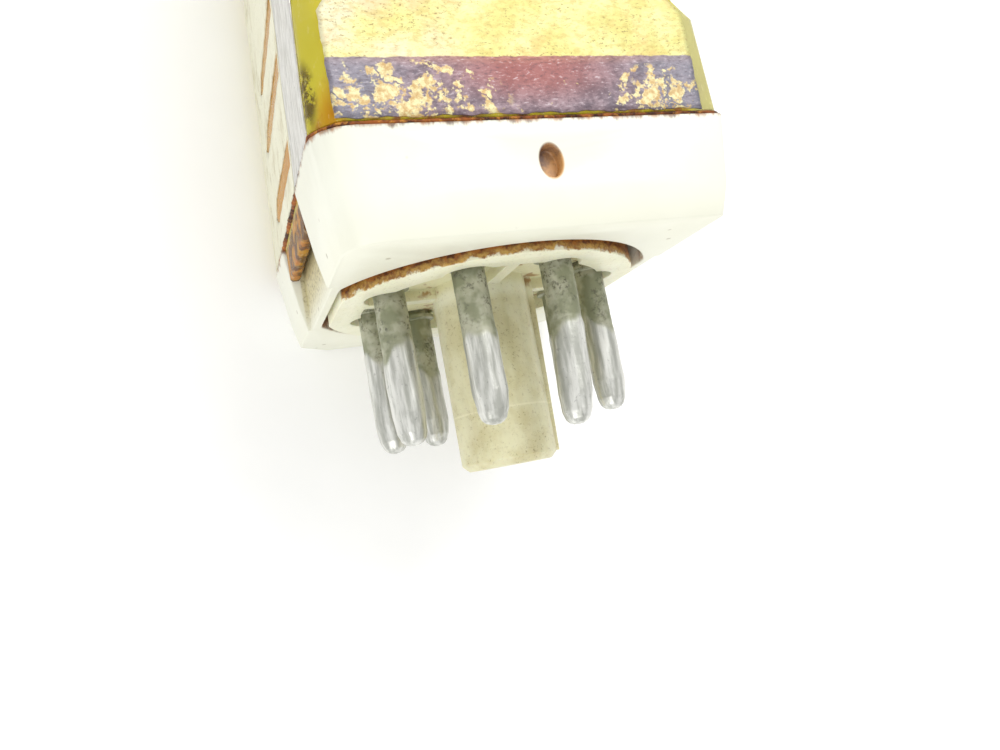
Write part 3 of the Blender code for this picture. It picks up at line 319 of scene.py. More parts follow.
def cream_nylon(tree):
    """Moulded nylon: translucent cream, waxy, with brown specks on the post and rust round the ring."""
    place = relay_mm(tree)
    x, y = axes(tree, place)[:2]
    radius = distance(tree, place, (0, 0, 0), (1, 0, 1))
    colour = over(tree, grain(tree, place, 3.0), "#F0F0DA", "#E2DFBC")
    recess = times(tree, ramp(tree, radius, RING_INSIDE + 0.3, RING_INSIDE - 0.3), ramp(tree, y, -0.3, 0.5))
    colour = stained(tree, colour, "#D8D3A4", recess, 0.7)
    post = ramp(tree, y, -0.5, -1.5)
    colour = stained(tree, colour, "#D2CDA4", post, 0.75)
    # rust on the ring's outer wall and in blots on the recess wall, and painted shade under the ring's wall
    blotch = grain(tree, place, 1.3, 5.0, 0.7)
    seep = node(tree, "Math", {0: blotch, 1: 1.6, 2: y}, operation="MULTIPLY_ADD")
    far_x = node(tree, "Math", {0: x}, operation="ABSOLUTE")
    ring_wall = times(tree, ramp(tree, radius, RING_RADIUS - 0.10, RING_RADIUS - 0.02),
                      ramp(tree, seep, 0.40, 0.62), ramp(tree, far_x, 11.66, 11.5))
    # painted shade: a dark brown band on the wall under the ring
    shade_under_wall = times(tree, ramp(tree, radius, 10.4, 10.8), ramp(tree, y, 0.6, 1.2))
    blots = times(tree, recess, ramp(tree, grain(tree, place, 1.8, 4.0, 0.6), 0.57, 0.66), 0.8)
    rust = over(tree, ramp(tree, grain(tree, place, 0.5, 5.0, 0.7), 0.38, 0.60), *RUST)
    ochre = over(tree, ramp(tree, grain(tree, place, 0.45, 5.0, 0.7), 0.38, 0.62), "#8E5E20", "#C29A48")
    washed = over(tree, ramp(tree, seep, 0.75, 1.05), ochre, rust)
    colour = over(tree, ring_wall, colour, washed)
    # painted shade under the ring's wall, laid on in dark brown
    colour = stained(tree, colour, "#6B3A18", shade_under_wall, 0.9)
    colour = stained(tree, colour, "#9A6A30", blots)
    # fine brown specks, thickest on the post
    specks = ramp(tree, grain(tree, place, 0.24, 5.0, 0.8), 0.55, 0.68)
    clusters = ramp(tree, grain(tree, place, 2.2, 4.0, 0.6), 0.40, 0.62)
    colour = stained(tree, colour, "#7F6A3C", specks, 0.35)
    colour = stained(tree, colour, "#AE9F5C", clusters, post, 0.30)
    colour = stained(tree, colour, "#6B5428", specks, clusters, post, 0.7)
    grime = ramp(tree, grain(tree, place, 2.4, 4.0, 0.7, (1, 0.35, 1)), 0.50, 0.72)
    colour = stained(tree, colour, "#9C8A56", grime, post, 0.18)
    # painted highlight: a pale line round the post at y -9.5
    highlight_line = times(tree, ramp(tree, y, -9.62, -9.52), ramp(tree, y, -9.38, -9.48))
    colour = stained(tree, colour, "#EFEACB", highlight_line, post, 0.35)
    rough = node(tree, "MapRange", {"Value": grain(tree, place, 0.8), "To Min": 0.30, "To Max": 0.55})
    skin = node(tree, "Bump", {"Height": grain(tree, place, 0.3, 4.0), "Strength": 0.35,
                               "Distance": 0.03 * MM})
    return node(tree, "BsdfPrincipled", {"Base Color": colour, "Roughness": rough, "Normal": skin,
                                         "IOR": 1.53,
                                         "Subsurface Weight": 0.20, "Subsurface Scale": 0.6 * MM,
                                         "Subsurface Radius": (1.0, 0.7, 0.35)})


def put(points):
    """Millimetres in the relay's directions, turned into metres in the frame."""
    return (np.asarray(points, float) + (0, SEAT, AXIS)) * MM


def points_of(piece):
    """A piece's vertices as rows of x, y and z in relay millimetres."""
    co = np.empty(len(piece.data.vertices) * 3)
    piece.data.vertices.foreach_get("co", co)
    return co.reshape(-1, 3) / MM - (0, SEAT, AXIS)


def move_points(piece, points):
    """Put a piece's vertices at rows of x, y and z in relay millimetres."""
    piece.data.vertices.foreach_set("co", put(points).astype(np.float32).ravel())
    piece.data.update()


header = softened("pin_header", "header_moulding", 0.06)
# the key ridge sinks into the post towards its end
header_points = points_of(header)
ridge_height = header_points[:, 0] - POST_RADIUS
ridge_end = (ridge_height > RIDGE_LEAST) & (header_points[:, 1] < RIDGE_SINKS_BELOW)
header_points[ridge_end, 0] = POST_RADIUS + RIDGE_END_SHARE * ridge_height[ridge_end]
move_points(header, header_points)
fit(header, material("cream_nylon", cream_nylon), "cream_header", "base", "pin_header")


# ---------------------------------------------------------------- pins
# Eight hollow brass pins, rolled, tinned and dipped in solder over their lower part after the leads
# went in. The solder is bright, thicker than the pin and ends in a wavy line; above it the tin is dull.
PIN_RADIUS = 1.18
PIN_FLANGE = (1.55, 0.1, 0.5)
PIN_TAIL = 5.4
PIN_CIRCLE = 8.725
PIN_BENDS = {1: -0.6}
PIN_COLUMNS = 72
PIN_ROWS = 130


def surface(name, points, wrap_rows=False, wrap_columns=True, sharp=45):
    """A mesh over a grid of points: rows x columns x 3, in relay millimetres.

    A row whose points all meet closes that end; wrap_rows joins the last row to the first.
    """
    rows, columns = points.shape[:2]
    row, column = np.meshgrid(np.arange(rows if wrap_rows else rows - 1),
                              np.arange(columns if wrap_columns else columns - 1), indexing="ij")
    next_row = (row + 1) % rows
    next_column = (column + 1) % columns
    faces = np.stack([row * columns + column, row * columns + next_column,
                      next_row * columns + next_column, next_row * columns + column], -1).reshape(-1, 4)
    mesh = bpy.data.meshes.new(name)
    mesh.from_pydata(put(points.reshape(-1, 3)).tolist(), [], faces.tolist())
    work = bmesh.new()
    work.from_mesh(mesh)
    bmesh.ops.remove_doubles(work, verts=work.verts, dist=0.0005 * MM)
    bmesh.ops.recalc_face_normals(work, faces=work.faces)
    work.to_mesh(mesh)
    work.free()
    mesh.shade_smooth()
    mesh.set_sharp_from_angle(angle=math.radians(sharp))
    made = bpy.data.objects.new(name, mesh)
    bpy.context.scene.collection.objects.link(made)
    return made


def mark(piece, name, rule):
    """Store rule(x, y, z), worked out in relay millimetres, on every vertex."""
    values = rule(*points_of(piece).T).astype(np.float32)
    piece.data.attributes.new(name, "FLOAT", "POINT").data.foreach_set("value", values)


def solder_edge(angle, seed):
    """Height of the solder's upper edge round the pin: three waves of different length."""
    return (-4.3 - 0.4 * math.sin(seed) + 0.55 * np.sin(angle + seed) + 0.35 * np.sin(2 * angle + 2.3 * seed)
            + 0.16 * np.sin(5 * angle + 1.7 * seed))


def pin_surface(tip, seed, middle, lean):
    """Surface of one pin: a turned outline, plus the solder's coat, its runs and its drop at the tip.

    The outline goes from the drop at the tip up the shank, over the flange and the tail, and back down
    the bore. Runs are waves round the pin that drift slowly along it.
    """
    flange_radius, flange_low, flange_high = PIN_FLANGE
    key_height = np.array([tip, tip + 0.04, tip + 0.16, tip + 0.42, tip + 1.0, tip + 2.3, flange_low - 0.05,
                           flange_low, flange_low + 0.06, flange_high - 0.06, flange_high, flange_high + 0.02,
                           PIN_TAIL - 0.1, PIN_TAIL, PIN_TAIL, PIN_TAIL - 1.5, PIN_TAIL - 1.5])
    key_radius = np.array([0, 0.26, 0.47, 0.66, 0.86, 1.0, 1.0, 1.04, flange_radius / PIN_RADIUS,
                           flange_radius / PIN_RADIUS, 1.04, 1.0, 1.0, 0.93, 0.68, 0.64, 0]) * PIN_RADIUS
    travel = np.concatenate([[0], np.cumsum(np.hypot(np.diff(key_height), np.diff(key_radius)))])
    step = np.union1d(np.linspace(0, travel[-1], PIN_ROWS), travel)
    height = np.interp(step, travel, key_height)[:, None]
    radius = np.interp(step, travel, key_radius)[:, None]
    angle = np.linspace(0, 2 * math.pi, PIN_COLUMNS, endpoint=False)[None, :]
    below = 1 / (1 + np.exp(-(solder_edge(angle, seed) - height) / 0.10))
    runs = (0.030 * np.sin(3 * angle + 0.35 * height + seed)
            + 0.022 * np.sin(7 * angle - 0.5 * height + 2 * seed)
            + 0.018 * np.sin(1.7 * height + 2 * angle + seed))
    dents = 0.014 * np.sin(4.1 * height + 3 * angle + seed) * np.sin(2.3 * height - 2 * angle)
    outside = np.clip((step - 0.1) / 0.6, 0, 1)[:, None] * np.clip((travel[-4] - step) / 0.3, 0, 1)[:, None]
    shank = np.clip((flange_low - height) / 0.4, 0, 1)
    radius = radius + outside * shank * (below * (0.05 + runs) + (1 - below) * dents)
    # the drop hangs a little to one side
    drop = np.exp(-((height - tip - 0.5) / 0.5) ** 2) * outside
    radius = radius + 0.10 * drop * np.maximum(0, np.cos(angle - seed))
    bent = lean * (np.clip(-height, 0, None) / -tip) ** 2
    return np.stack(np.broadcast_arrays(middle[0] + bent + radius * np.cos(angle), height,
                                        middle[1] + radius * np.sin(angle)), -1)


def tinned_brass(tree):
    """Tinned brass: bright, streaked solder below; above it dull grey tin, pitted and olive in patches."""
    place = relay_mm(tree)
    solder = node(tree, "Attribute", out="Fac", attribute_name="solder")
    streak = grain(tree, place, 0.55, 4.0, 0.6, (1, 0.12, 1))
    fine = grain(tree, place, 0.18, 3.0, 0.6, (1, 0.3, 1))
    bright = over(tree, ramp(tree, streak, 0.35, 0.65), "#B0B1A9", "#E2E2DC")
    spot = grain(tree, place, 0.32, 4.0, 0.7)
    dull = over(tree, ramp(tree, grain(tree, place, 1.6), 0.38, 0.62), "#94977E", "#BCBCA8")
    height = axes(tree, place)[1]
    pitted = times(tree, ramp(tree, spot, 0.46, 0.62), ramp(tree, height, -5.5, -2.5),
                   ramp(tree, grain(tree, place, 1.5, 4.0, 0.6), 0.44, 0.60))
    dull = stained(tree, dull, "#57534A", pitted, 0.75)
    bright = stained(tree, bright, "#777774", ramp(tree, spot, 0.60, 0.70), 0.4)
    colour = over(tree, solder, dull, bright)
    rough = node(tree, "Mix", {0: solder, 2: 0.50, 3: 0.34}, data_type="FLOAT")
    rough = node(tree, "Math", {0: fine, 1: 0.16, 2: rough}, operation="MULTIPLY_ADD")
    relief = node(tree, "Math", {0: streak, 1: spot}, operation="ADD")
    skin = node(tree, "Bump", {"Height": relief, "Strength": 0.45, "Distance": 0.05 * MM})
    return node(tree, "BsdfPrincipled", {"Base Color": colour, "Metallic": 0.8, "Roughness": rough,
                                         "Normal": skin})


pin_finish = material("tinned_brass", tinned_brass)
for number in range(1, 9):
    cad_name = f"contact_pin_{number}"
    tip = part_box(cad_name)[0].y / MM - SEAT
    seed = 1.9 * number
    pin_turn = math.radians(22.5 + 45 * (number - 1))
    pin_x = PIN_CIRCLE * math.sin(pin_turn)
    pin_z = PIN_CIRCLE * math.cos(pin_turn)
    pin = surface(f"pin_{number}", pin_surface(tip, seed, (pin_x, pin_z), PIN_BENDS.get(number, 0)), sharp=60)
    mark(pin, "solder", lambda x, y, z: 1 / (1 + np.exp(
        (y - solder_edge(np.arctan2(z - pin_z, x - pin_x), seed)) / 0.08)))
    fit(pin, pin_finish, "tinned_pin", "base", cad_name)


# ---------------------------------------------------------------- yoke and core
# The magnet's iron: an L of folded strip that is zinc plated, and a turned core whose shank is
# riveted through the yoke's foot.
def plated(colour_low, colour_high, rough, brush=(1, 1, 1)):
    """Plated metal: two tones in soft clouds, light brushing and a few stains."""
    def build(tree):
        place = relay_mm(tree)
        clouds = ramp(tree, grain(tree, place, 2.5, 4.0, 0.6), 0.35, 0.65)
        colour = over(tree, clouds, colour_low, colour_high)
        scratch = grain(tree, place, 0.3, 3.0, 0.6, brush)
        stain = ramp(tree, grain(tree, place, 1.1, 5.0, 0.7), 0.60, 0.74)
        colour = stained(tree, colour, "#5B4A34", stain, 0.45)
        gloss = node(tree, "Math", {0: scratch, 1: 0.24, 2: rough - 0.10}, operation="MULTIPLY_ADD")
        skin = node(tree, "Bump", {"Height": scratch, "Strength": 0.3, "Distance": 0.02 * MM})
        return node(tree, "BsdfPrincipled", {"Base Color": colour, "Metallic": 1.0, "Roughness": gloss,
                                             "Normal": skin})
    return build


def turned(name, profile, middle, along="y", columns=48, ripple=0.0, sharp=40):
    """A profile of (radius, height) points turned about an axis; ripple lifts every point off the axis by the
    same amount.
    """
    radius, height = np.array(profile, float).T[:, :, None]
    angle = np.linspace(0, 2 * math.pi, columns, endpoint=False)[None, :]
    radius = radius + ripple * (radius > 0) + 0 * angle
    across = middle[0] + radius * np.cos(angle)
    other = middle[1] + radius * np.sin(angle)
    height = height + 0 * angle
    order = (across, height, other) if along == "y" else (across, other, height)
    closed = profile[0][0] > 0
    return surface(name, np.stack(order, -1), wrap_rows=closed, sharp=sharp)


def eased(corners, ease):
    """A profile whose inner corners are cut back by ease, so that each edge catches the light."""
    points = np.array(corners, float)
    out = [points[0]]
    for before, corner, after in zip(points, points[1:], points[2:]):
        for other in (before, after):
            way = other - corner
            out.append(corner + way * min(ease / np.hypot(*way), 0.45))
    out.append(points[-1])
    return out


yoke_finish = material("zinc_plated_steel", plated("#9C9478", "#C9C0A0", 0.42, (0.2, 1, 0.2)))
fit(softened("yoke", "yoke_stamping", 0.15), yoke_finish, "yoke_steel", "base", "yoke")
core_low, core_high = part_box("core")
COIL_AXIS = (0, (core_low.z + core_high.z) / 2 / MM - AXIS)
CORE_FOOT = core_low.y / MM - SEAT
CORE_TOP = core_high.y / MM - SEAT
core_profile = [(0, CORE_FOOT)] + eased([(0, CORE_FOOT), (2.8, CORE_FOOT), (2.8, CORE_FOOT + 0.8),
                (1.9, CORE_FOOT + 0.8), (1.9, CORE_FOOT + 3.0), (3.5, CORE_FOOT + 3.0), (3.5, CORE_TOP - 1.0),
                (5.2, CORE_TOP - 1.0), (5.2, CORE_TOP), (0, CORE_TOP)], 0.12)[1:]
fit(turned("core_turning", core_profile, COIL_AXIS),
    material("nickel_plated_iron", plated("#A7A49C", "#C8C5BC", 0.34)), "core_iron", "base", "core")


# ---------------------------------------------------------------- coil
# A nylon bobbin wound with enamelled copper and wrapped in one layer of yellow polyester tape whose
# end laps over its start.
def plain_moulding(low, high, rough):
    """Moulded plastic: two close tones in clouds, a fine skin and light dust."""
    def build(tree):
        place = relay_mm(tree)
        colour = over(tree, grain(tree, place, 2.2), low, high)
        dust = ramp(tree, grain(tree, place, 0.4, 5.0, 0.75), 0.58, 0.72)
        colour = stained(tree, colour, "#8B7B55", dust, 0.3)
        skin = node(tree, "Bump", {"Height": grain(tree, place, 0.2, 4.0), "Strength": 0.3,
                                   "Distance": 0.02 * MM})
        gloss = node(tree, "MapRange", {"Value": grain(tree, place, 0.9), "To Min": rough - 0.1,
                                        "To Max": rough + 0.1})
        return node(tree, "BsdfPrincipled", {"Base Color": colour, "Roughness": gloss, "Normal": skin,
                                             "IOR": 1.53})
    return build


def enamelled_copper(tree):
    """Enamelled wire laid side by side: brown-red copper with painted shade between the turns, glossy."""
    place = relay_mm(tree)
    y = axes(tree, place)[1]
    # real wire is about 0.1 mm; the turns are drawn at 0.35 mm so that they show
    turn = node(tree, "Math", {0: node(tree, "Math", {0: y, 1: 2 * math.pi / 0.35}, operation="MULTIPLY")},
                operation="SINE")
    # painted shade: darker in the grooves between the turns
    colour = over(tree, ramp(tree, turn, -0.9, 0.4), "#4A1E0C", "#A85A2C")
    colour = stained(tree, colour, "#C98248", grain(tree, place, 3.0), 0.3)
    return node(tree, "BsdfPrincipled", {"Base Color": colour, "Metallic": 0.75, "Roughness": 0.3,
                                         "Coat Weight": 0.4, "Coat Roughness": 0.15})


def polyester_tape(tree):
    """Yellow film: glossy, with long creases and paler scuffs where it is tight on the wire."""
    place = relay_mm(tree)
    crease = grain(tree, place, 1.2, 4.0, 0.6, (1, 0.2, 1))
    colour = over(tree, ramp(tree, crease, 0.35, 0.65), "#C79A2A", "#E2BE55")
    skin = node(tree, "Bump", {"Height": crease, "Strength": 0.5, "Distance": 0.08 * MM})
    gloss = node(tree, "MapRange", {"Value": grain(tree, place, 0.5), "To Min": 0.16, "To Max": 0.38})
    return node(tree, "BsdfPrincipled", {"Base Color": colour, "Roughness": gloss, "Normal": skin,
                                         "IOR": 1.6})


bobbin_low, bobbin_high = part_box("coil_bobbin")
BOBBIN_FOOT = bobbin_low.y / MM - SEAT
BOBBIN_TOP = bobbin_high.y / MM - SEAT
spool = [(3.8, BOBBIN_FOOT), (8.9, BOBBIN_FOOT), (8.9, BOBBIN_FOOT + 1.0), (4.6, BOBBIN_FOOT + 1.0),
         (4.6, BOBBIN_TOP - 1.0), (8.9, BOBBIN_TOP - 1.0), (8.9, BOBBIN_TOP), (3.8, BOBBIN_TOP)]
bobbin_finish = material("bobbin_nylon", plain_moulding("#D9CFB0", "#EAE2C8", 0.45))
fit(turned("bobbin_moulding", eased(spool, 0.15), COIL_AXIS, columns=72), bobbin_finish,
    "bobbin_nylon", "base", "coil_bobbin")

WINDING_LOW = BOBBIN_FOOT + 1.3
WINDING_HIGH = BOBBIN_TOP - 1.3
turn_height = np.linspace(WINDING_LOW, WINDING_HIGH, 321)
turn_radius = 7.8 + 0.09 * np.abs(np.sin(math.pi * turn_height / 0.35))
winding_profile = [(4.9, WINDING_LOW), *zip(turn_radius, turn_height), (4.9, WINDING_HIGH)]
fit(turned("winding_turns", winding_profile, COIL_AXIS, columns=64, sharp=80),
    material("enamelled_copper", enamelled_copper), "enamelled_copper", "base", "coil_winding")

# the tape's radius grows a little once round, so its end stands as a step beside its start
tape_angle = np.linspace(0, 2 * math.pi, 120, endpoint=False)
tape_grow = 0.10 * tape_angle / (2 * math.pi)
tape_rows = []
for tape_radius, tape_height in ((8.14, WINDING_LOW), (8.32, WINDING_LOW),
                                 (8.34, WINDING_HIGH), (8.14, WINDING_HIGH)):
    reach = tape_radius + tape_grow * (tape_radius > 8.2)
    tape_rows.append(np.stack([reach * np.cos(tape_angle), tape_height + 0 * tape_angle,
                               COIL_AXIS[1] + reach * np.sin(tape_angle)], -1))
fit(surface("tape_wrap", np.array(tape_rows), wrap_rows=True), material("polyester_tape", polyester_tape),
    "coil_tape_film", "base", "coil_tape")


# ---------------------------------------------------------------- armature
# A stamped steel plate that rocks on the yoke's edge. It carries a phenolic block with two bronze
# blades, held by brass rivets, and a silver contact at the end of each blade.
def laminate(tree):
    """Cotton phenolic board: dark brown, with the cloth's threads just showing in its face."""
    place = relay_mm(tree)
    # threads are 0.3 mm apart
    warp = node(tree, "TexWave", {"Vector": place, "Scale": 1.0 / 0.3 / 3.2, "Distortion": 0.6}, "Fac",
                bands_direction="X")
    weft = node(tree, "TexWave", {"Vector": place, "Scale": 1.0 / 0.3 / 3.2, "Distortion": 0.6}, "Fac",
                bands_direction="Y")
    cloth = times(tree, warp, weft)
    colour = over(tree, cloth, "#2E1A0E", "#5A3820")
    colour = stained(tree, colour, "#3C2312", grain(tree, place, 3.0), 0.4)
    skin = node(tree, "Bump", {"Height": cloth, "Strength": 0.25, "Distance": 0.02 * MM})
    return node(tree, "BsdfPrincipled", {"Base Color": colour, "Roughness": 0.42, "Normal": skin, "IOR": 1.6})


def riveted(piece_name, cad_name, finish, slot, body, along, radius, heads, tilt=0.0):
    """A rivet: a shank with a low domed head at each end, on the axis of its CAD node.

    heads are the thicknesses of its low and high head; tilt turns it with the resting armature.
    """
    low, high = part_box(cad_name)
    middle = (low + high) / 2 / MM - Vector((0, SEAT, AXIS))
    length = (high - low)[1 if along == "y" else 2] / MM
    span = (length - 2 * radius * abs(math.sin(tilt))) / math.cos(tilt) / 2
    share = np.linspace(0, 1, 6)[:, None]
    dome = [(radius * s, -span + 0.12 * radius * s ** 2) for s in share[:, 0]]
    profile = dome + [(radius, -span + heads[0]), (0.6, -span + heads[0]), (0.6, span - heads[1]),
                      (radius, span - heads[1])] + [(r, -h) for r, h in reversed(dome)]
    made = turned(piece_name, profile, (0, 0), along, columns=28)
    turn = np.array(Euler((-tilt, 0, 0)).to_matrix())
    move_points(made, points_of(made) @ turn.T + np.array(middle))
    return fit(made, finish, slot, body, cad_name)


bronze_finish = material("spring_bronze", plated("#A67C42", "#C99F5E", 0.34, (1, 1, 0.15)))
silver_finish = material("contact_silver", plated("#BDBDB8", "#E2E2DE", 0.30))
brass_finish = material("rivet_brass", plated("#A98642", "#D0AE66", 0.34))
phenolic_finish = material("phenolic_laminate", laminate)
OPEN_TURN = math.radians(3.8)
fit(softened("armature", "armature_stamping", 0.14),
    material("armature_steel", plated("#8F8B80", "#B8B3A4", 0.38, (0.2, 1, 1))),
    "armature_steel", "armature", "armature")
fit(softened("contact_carrier", "carrier_board", 0.12), phenolic_finish, "carrier_phenolic", "armature",
    "contact_carrier")
fit(softened("armature_clip", "clip_leaf", 0.05), bronze_finish, "spring_bronze", "base", "armature_clip")
for side in ("left", "right"):
    fit(softened(f"moving_blade_{side}", f"blade_leaf_{side}", 0.05), bronze_finish, "spring_bronze",
        "armature", f"moving_blade_{side}")
    riveted(f"moving_button_{side}", f"moving_contact_{side}", silver_finish, "contact_silver", "armature",
            "y", 1.4, (0.6, 0.6), OPEN_TURN)
    riveted(f"blade_pin_{side}", f"blade_rivet_{side}", brass_finish, "rivet_brass", "armature",
            "y", 1.2, (0.5, 0.5), OPEN_TURN)


# ---------------------------------------------------------------- contact block and terminals
# A phenolic board in front of the coil, screwed through its feet and the yoke into the header. Brass
# strips are riveted to it and bend back over and under the blades with a silver contact each.
strip_finish = material("terminal_brass", plated("#A07C3C", "#CFAE6A", 0.32, (1, 0.15, 1)))
screw_finish = material("screw_steel", plated("#A9A594", "#D2CDB9", 0.30))
fit(softened("contact_block", "block_board", 0.12), phenolic_finish, "block_phenolic", "base",
    "contact_block")
for side in ("left", "right"):
    fit(softened(f"frame_screw_{side}", f"screw_{side}", 0.06), screw_finish, "screw_steel", "base",
        f"frame_screw_{side}")
    for kind, heads in (("make", (0.4, 0.6)), ("break", (0.6, 0.4))):
        fit(softened(f"{kind}_terminal_{side}", f"{kind}_strip_{side}", 0.07), strip_finish, "terminal_brass",
            "base", f"{kind}_terminal_{side}")
        riveted(f"{kind}_button_{side}", f"{kind}_contact_{side}", silver_finish, "contact_silver", "base",
                "y", 1.4, heads)
        riveted(f"{kind}_stud_{side}", f"{kind}_rivet_{side}", brass_finish, "rivet_brass", "base",
                "z", 1.0, (0.5, 0.35))


# ---------------------------------------------------------------- return spring
# A closed-end compression spring of music wire between the block's shelf and the carrier's tab. It
# shortens as the armature is pulled in.
SPRING_WIRE = 0.18
SPRING_TURNS = 6


def tube(name, path, radius, sides=12):
    """A round section carried along a path of points, turned to stay square to it, with flat ends."""
    path = np.asarray(path, float)
    along = np.gradient(path, axis=0)
    along /= np.linalg.norm(along, axis=1, keepdims=True)
    side = np.cross(along, (0.31, 0.17, 0.93))
    side /= np.linalg.norm(side, axis=1, keepdims=True)
    other = np.cross(along, side)
    angle = np.linspace(0, 2 * math.pi, sides, endpoint=False)[None, :, None]
    ring = path[:, None] + radius * (side[:, None] * np.cos(angle) + other[:, None] * np.sin(angle))
    ends = [np.repeat(point[None, None], sides, 1) for point in (path[0], path[-1])]
    return surface(name, np.concatenate([ends[0], ring, ends[1]]), sharp=50)


spring_low, spring_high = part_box("return_spring")
spring_middle = (spring_low + spring_high) / 2 / MM - Vector((0, SEAT, AXIS))
spring_foot = spring_low.y / MM - SEAT + SPRING_WIRE
spring_top = spring_high.y / MM - SEAT - SPRING_WIRE
spring_angle = np.linspace(0, 2 * math.pi * SPRING_TURNS, SPRING_TURNS * 36)
# the end turns lie close together and the rest share the height between them
spring_share = np.linspace(0, 1, len(spring_angle))
spring_rise = spring_share - 0.055 * np.sin(2 * math.pi * spring_share)
spring_reach = (spring_high.x - spring_low.x) / MM / 2 - SPRING_WIRE
spring_path = np.stack([spring_reach * np.cos(spring_angle),
                        spring_foot + (spring_top - spring_foot) * spring_rise,
                        spring_middle.z + spring_reach * np.sin(spring_angle)], -1)
spring = fit(tube("return_spring_coil", spring_path, SPRING_WIRE, 10),
             material("music_wire", plated("#8E9096", "#C3C5C9", 0.26)), "spring_steel", "base",
             "return_spring")
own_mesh(spring)


# ---------------------------------------------------------------- leads
# Stranded wires in yellowed vinyl sleeves, from the coil, the blades and the strips into the pins'
# tails. The blades' own leads are the only ones that bend in use.
lead_finish = material("vinyl_sleeve", plain_moulding("#D8CB9C", "#EFE5C4", 0.4))
for side in ("left", "right"):
    for kind in ("make", "break", "common", "coil"):
        cad_name = f"{kind}_lead_{side}"
        lead = softened(cad_name, f"{kind}_wire_{side}", 0)
        rounder = lead.modifiers.new("rounder", "SUBSURF")
        rounder.levels = 1
        rounder.render_levels = 1
        fit(lead, lead_finish, "lead_sleeve", None if kind == "common" else "base", cad_name)
        if kind == "common":
            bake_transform(lead)


# ---------------------------------------------------------------- rim dirt
# Rust and dried oil that fill the joint between base and cover: an uneven bead that stands a little
# out of the joint and thins in places.
def cut_corner_outline(half_width, front, back, corners, ease, side_stops, face_shares):
    """Outline with cut corners, each of its eight bends eased, for all rows at once.

    Sizes are columns of one value per row; corners go from right front, by left, to right back. Extra
    points stand at side_stops along z on both sides and at face_shares of the front and back.
    """
    sizes = np.broadcast_arrays(half_width, front, back, *corners)
    w, f, b, rf, lf, lb, rb = (np.asarray(size, float).reshape(-1) for size in sizes)
    bends = [(w, b + rb), (w, f - rf), (w - rf, f), (lf - w, f),
             (-w, f - lf), (-w, b + lb), (lb - w, b), (w - rb, b)]
    bends = [np.stack(bend, -1) for bend in bends]
    columns = []
    for index, here in enumerate(bends):
        before = bends[index - 1]
        after = bends[(index + 1) % 8]
        span_before = np.linalg.norm(before - here, axis=1, keepdims=True)
        span_after = np.linalg.norm(after - here, axis=1, keepdims=True)
        start = here + np.minimum(ease / span_before, 0.45) * (before - here)
        stop = here + np.minimum(ease / span_after, 0.45) * (after - here)
        columns += [start, (start + 2 * here + stop) / 4, stop]
        if index in (0, 4):
            stops = side_stops if index == 0 else side_stops[::-1]
            for stop_z in stops:
                share = ((stop_z - here[:, 1]) / (after[:, 1] - here[:, 1]))[:, None]
                columns.append(here + share * (after - here))
        elif index in (2, 6):
            columns += [here + share * (after - here) for share in face_shares]
    return np.stack(columns, 1)


def rust_dirt(tree):
    """Packed rust: dark brown to orange, dull and crumbly."""
    place = relay_mm(tree)
    colour = over(tree, ramp(tree, grain(tree, place, 2.2, 4.0, 0.7), 0.40, 0.60), "#3E1A0C", "#A35A1C")
    colour = stained(tree, colour, "#C9892E", ramp(tree, grain(tree, place, 0.5, 5.0, 0.7), 0.52, 0.68))
    skin = node(tree, "Bump", {"Height": grain(tree, place, 0.2, 5.0, 0.7), "Strength": 0.8,
                               "Distance": 0.08 * MM})
    return node(tree, "BsdfPrincipled", {"Base Color": colour, "Roughness": 0.7, "Normal": skin})


cover_low, cover_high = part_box("cover")
COVER_HALF_WIDTH = cover_high.x / MM
COVER_FRONT = cover_high.z / MM - AXIS
COVER_BACK = cover_low.z / MM - AXIS
COVER_TOP = cover_high.y / MM - SEAT
COVER_FOOT = RIM_HEIGHT + 0.3
BEAD_STEPS = 420
bead_path = cut_corner_outline([COVER_HALF_WIDTH + 0.02], [COVER_FRONT], [COVER_BACK + 0.2],
                               (0.4, 1.55, 1.55, 1.55), 0.3,
                               np.linspace(-13, 13, 9), np.linspace(0.1, 0.9, 9))[0]
bead_path = np.vstack([bead_path, bead_path[:1]])
bead_travel = np.concatenate([[0], np.cumsum(np.linalg.norm(np.diff(bead_path, axis=0), axis=1))])
bead_at = np.linspace(0, bead_travel[-1], BEAD_STEPS, endpoint=False)
bead_x = np.interp(bead_at, bead_travel, bead_path[:, 0])
bead_z = np.interp(bead_at, bead_travel, bead_path[:, 1])
bead_wave = (0.5 + 0.22 * np.sin(1.3 * bead_at) + 0.18 * np.sin(3.7 * bead_at + 1)
             + 0.16 * np.sin(8.9 * bead_at + 2) + 0.1 * np.sin(17.1 * bead_at))
bead_swell = np.clip(bead_wave, 0.12, 1.0)[:, None]
bead_angle = np.linspace(0, 2 * math.pi, 10, endpoint=False)[None, :]
bead_out = np.stack([bead_x / COVER_HALF_WIDTH, bead_z / COVER_FRONT], -1)
bead_out /= np.linalg.norm(bead_out, axis=1, keepdims=True)
bead_push = -0.12 + (0.16 + 0.16 * bead_swell) * np.cos(bead_angle)
bead_rise = (RIM_HEIGHT + 0.15) + (0.13 + 0.10 * bead_swell * (np.sin(bead_angle) < 0)) * np.sin(bead_angle)
bead_points = np.stack([bead_x[:, None] + bead_out[:, :1] * bead_push, bead_rise,
                        bead_z[:, None] + bead_out[:, 1:] * bead_push], -1)
bead = surface("rim_dirt", bead_points, wrap_rows=True)
fit(bead, material("rust_dirt", rust_dirt), "ivory_base", "base")
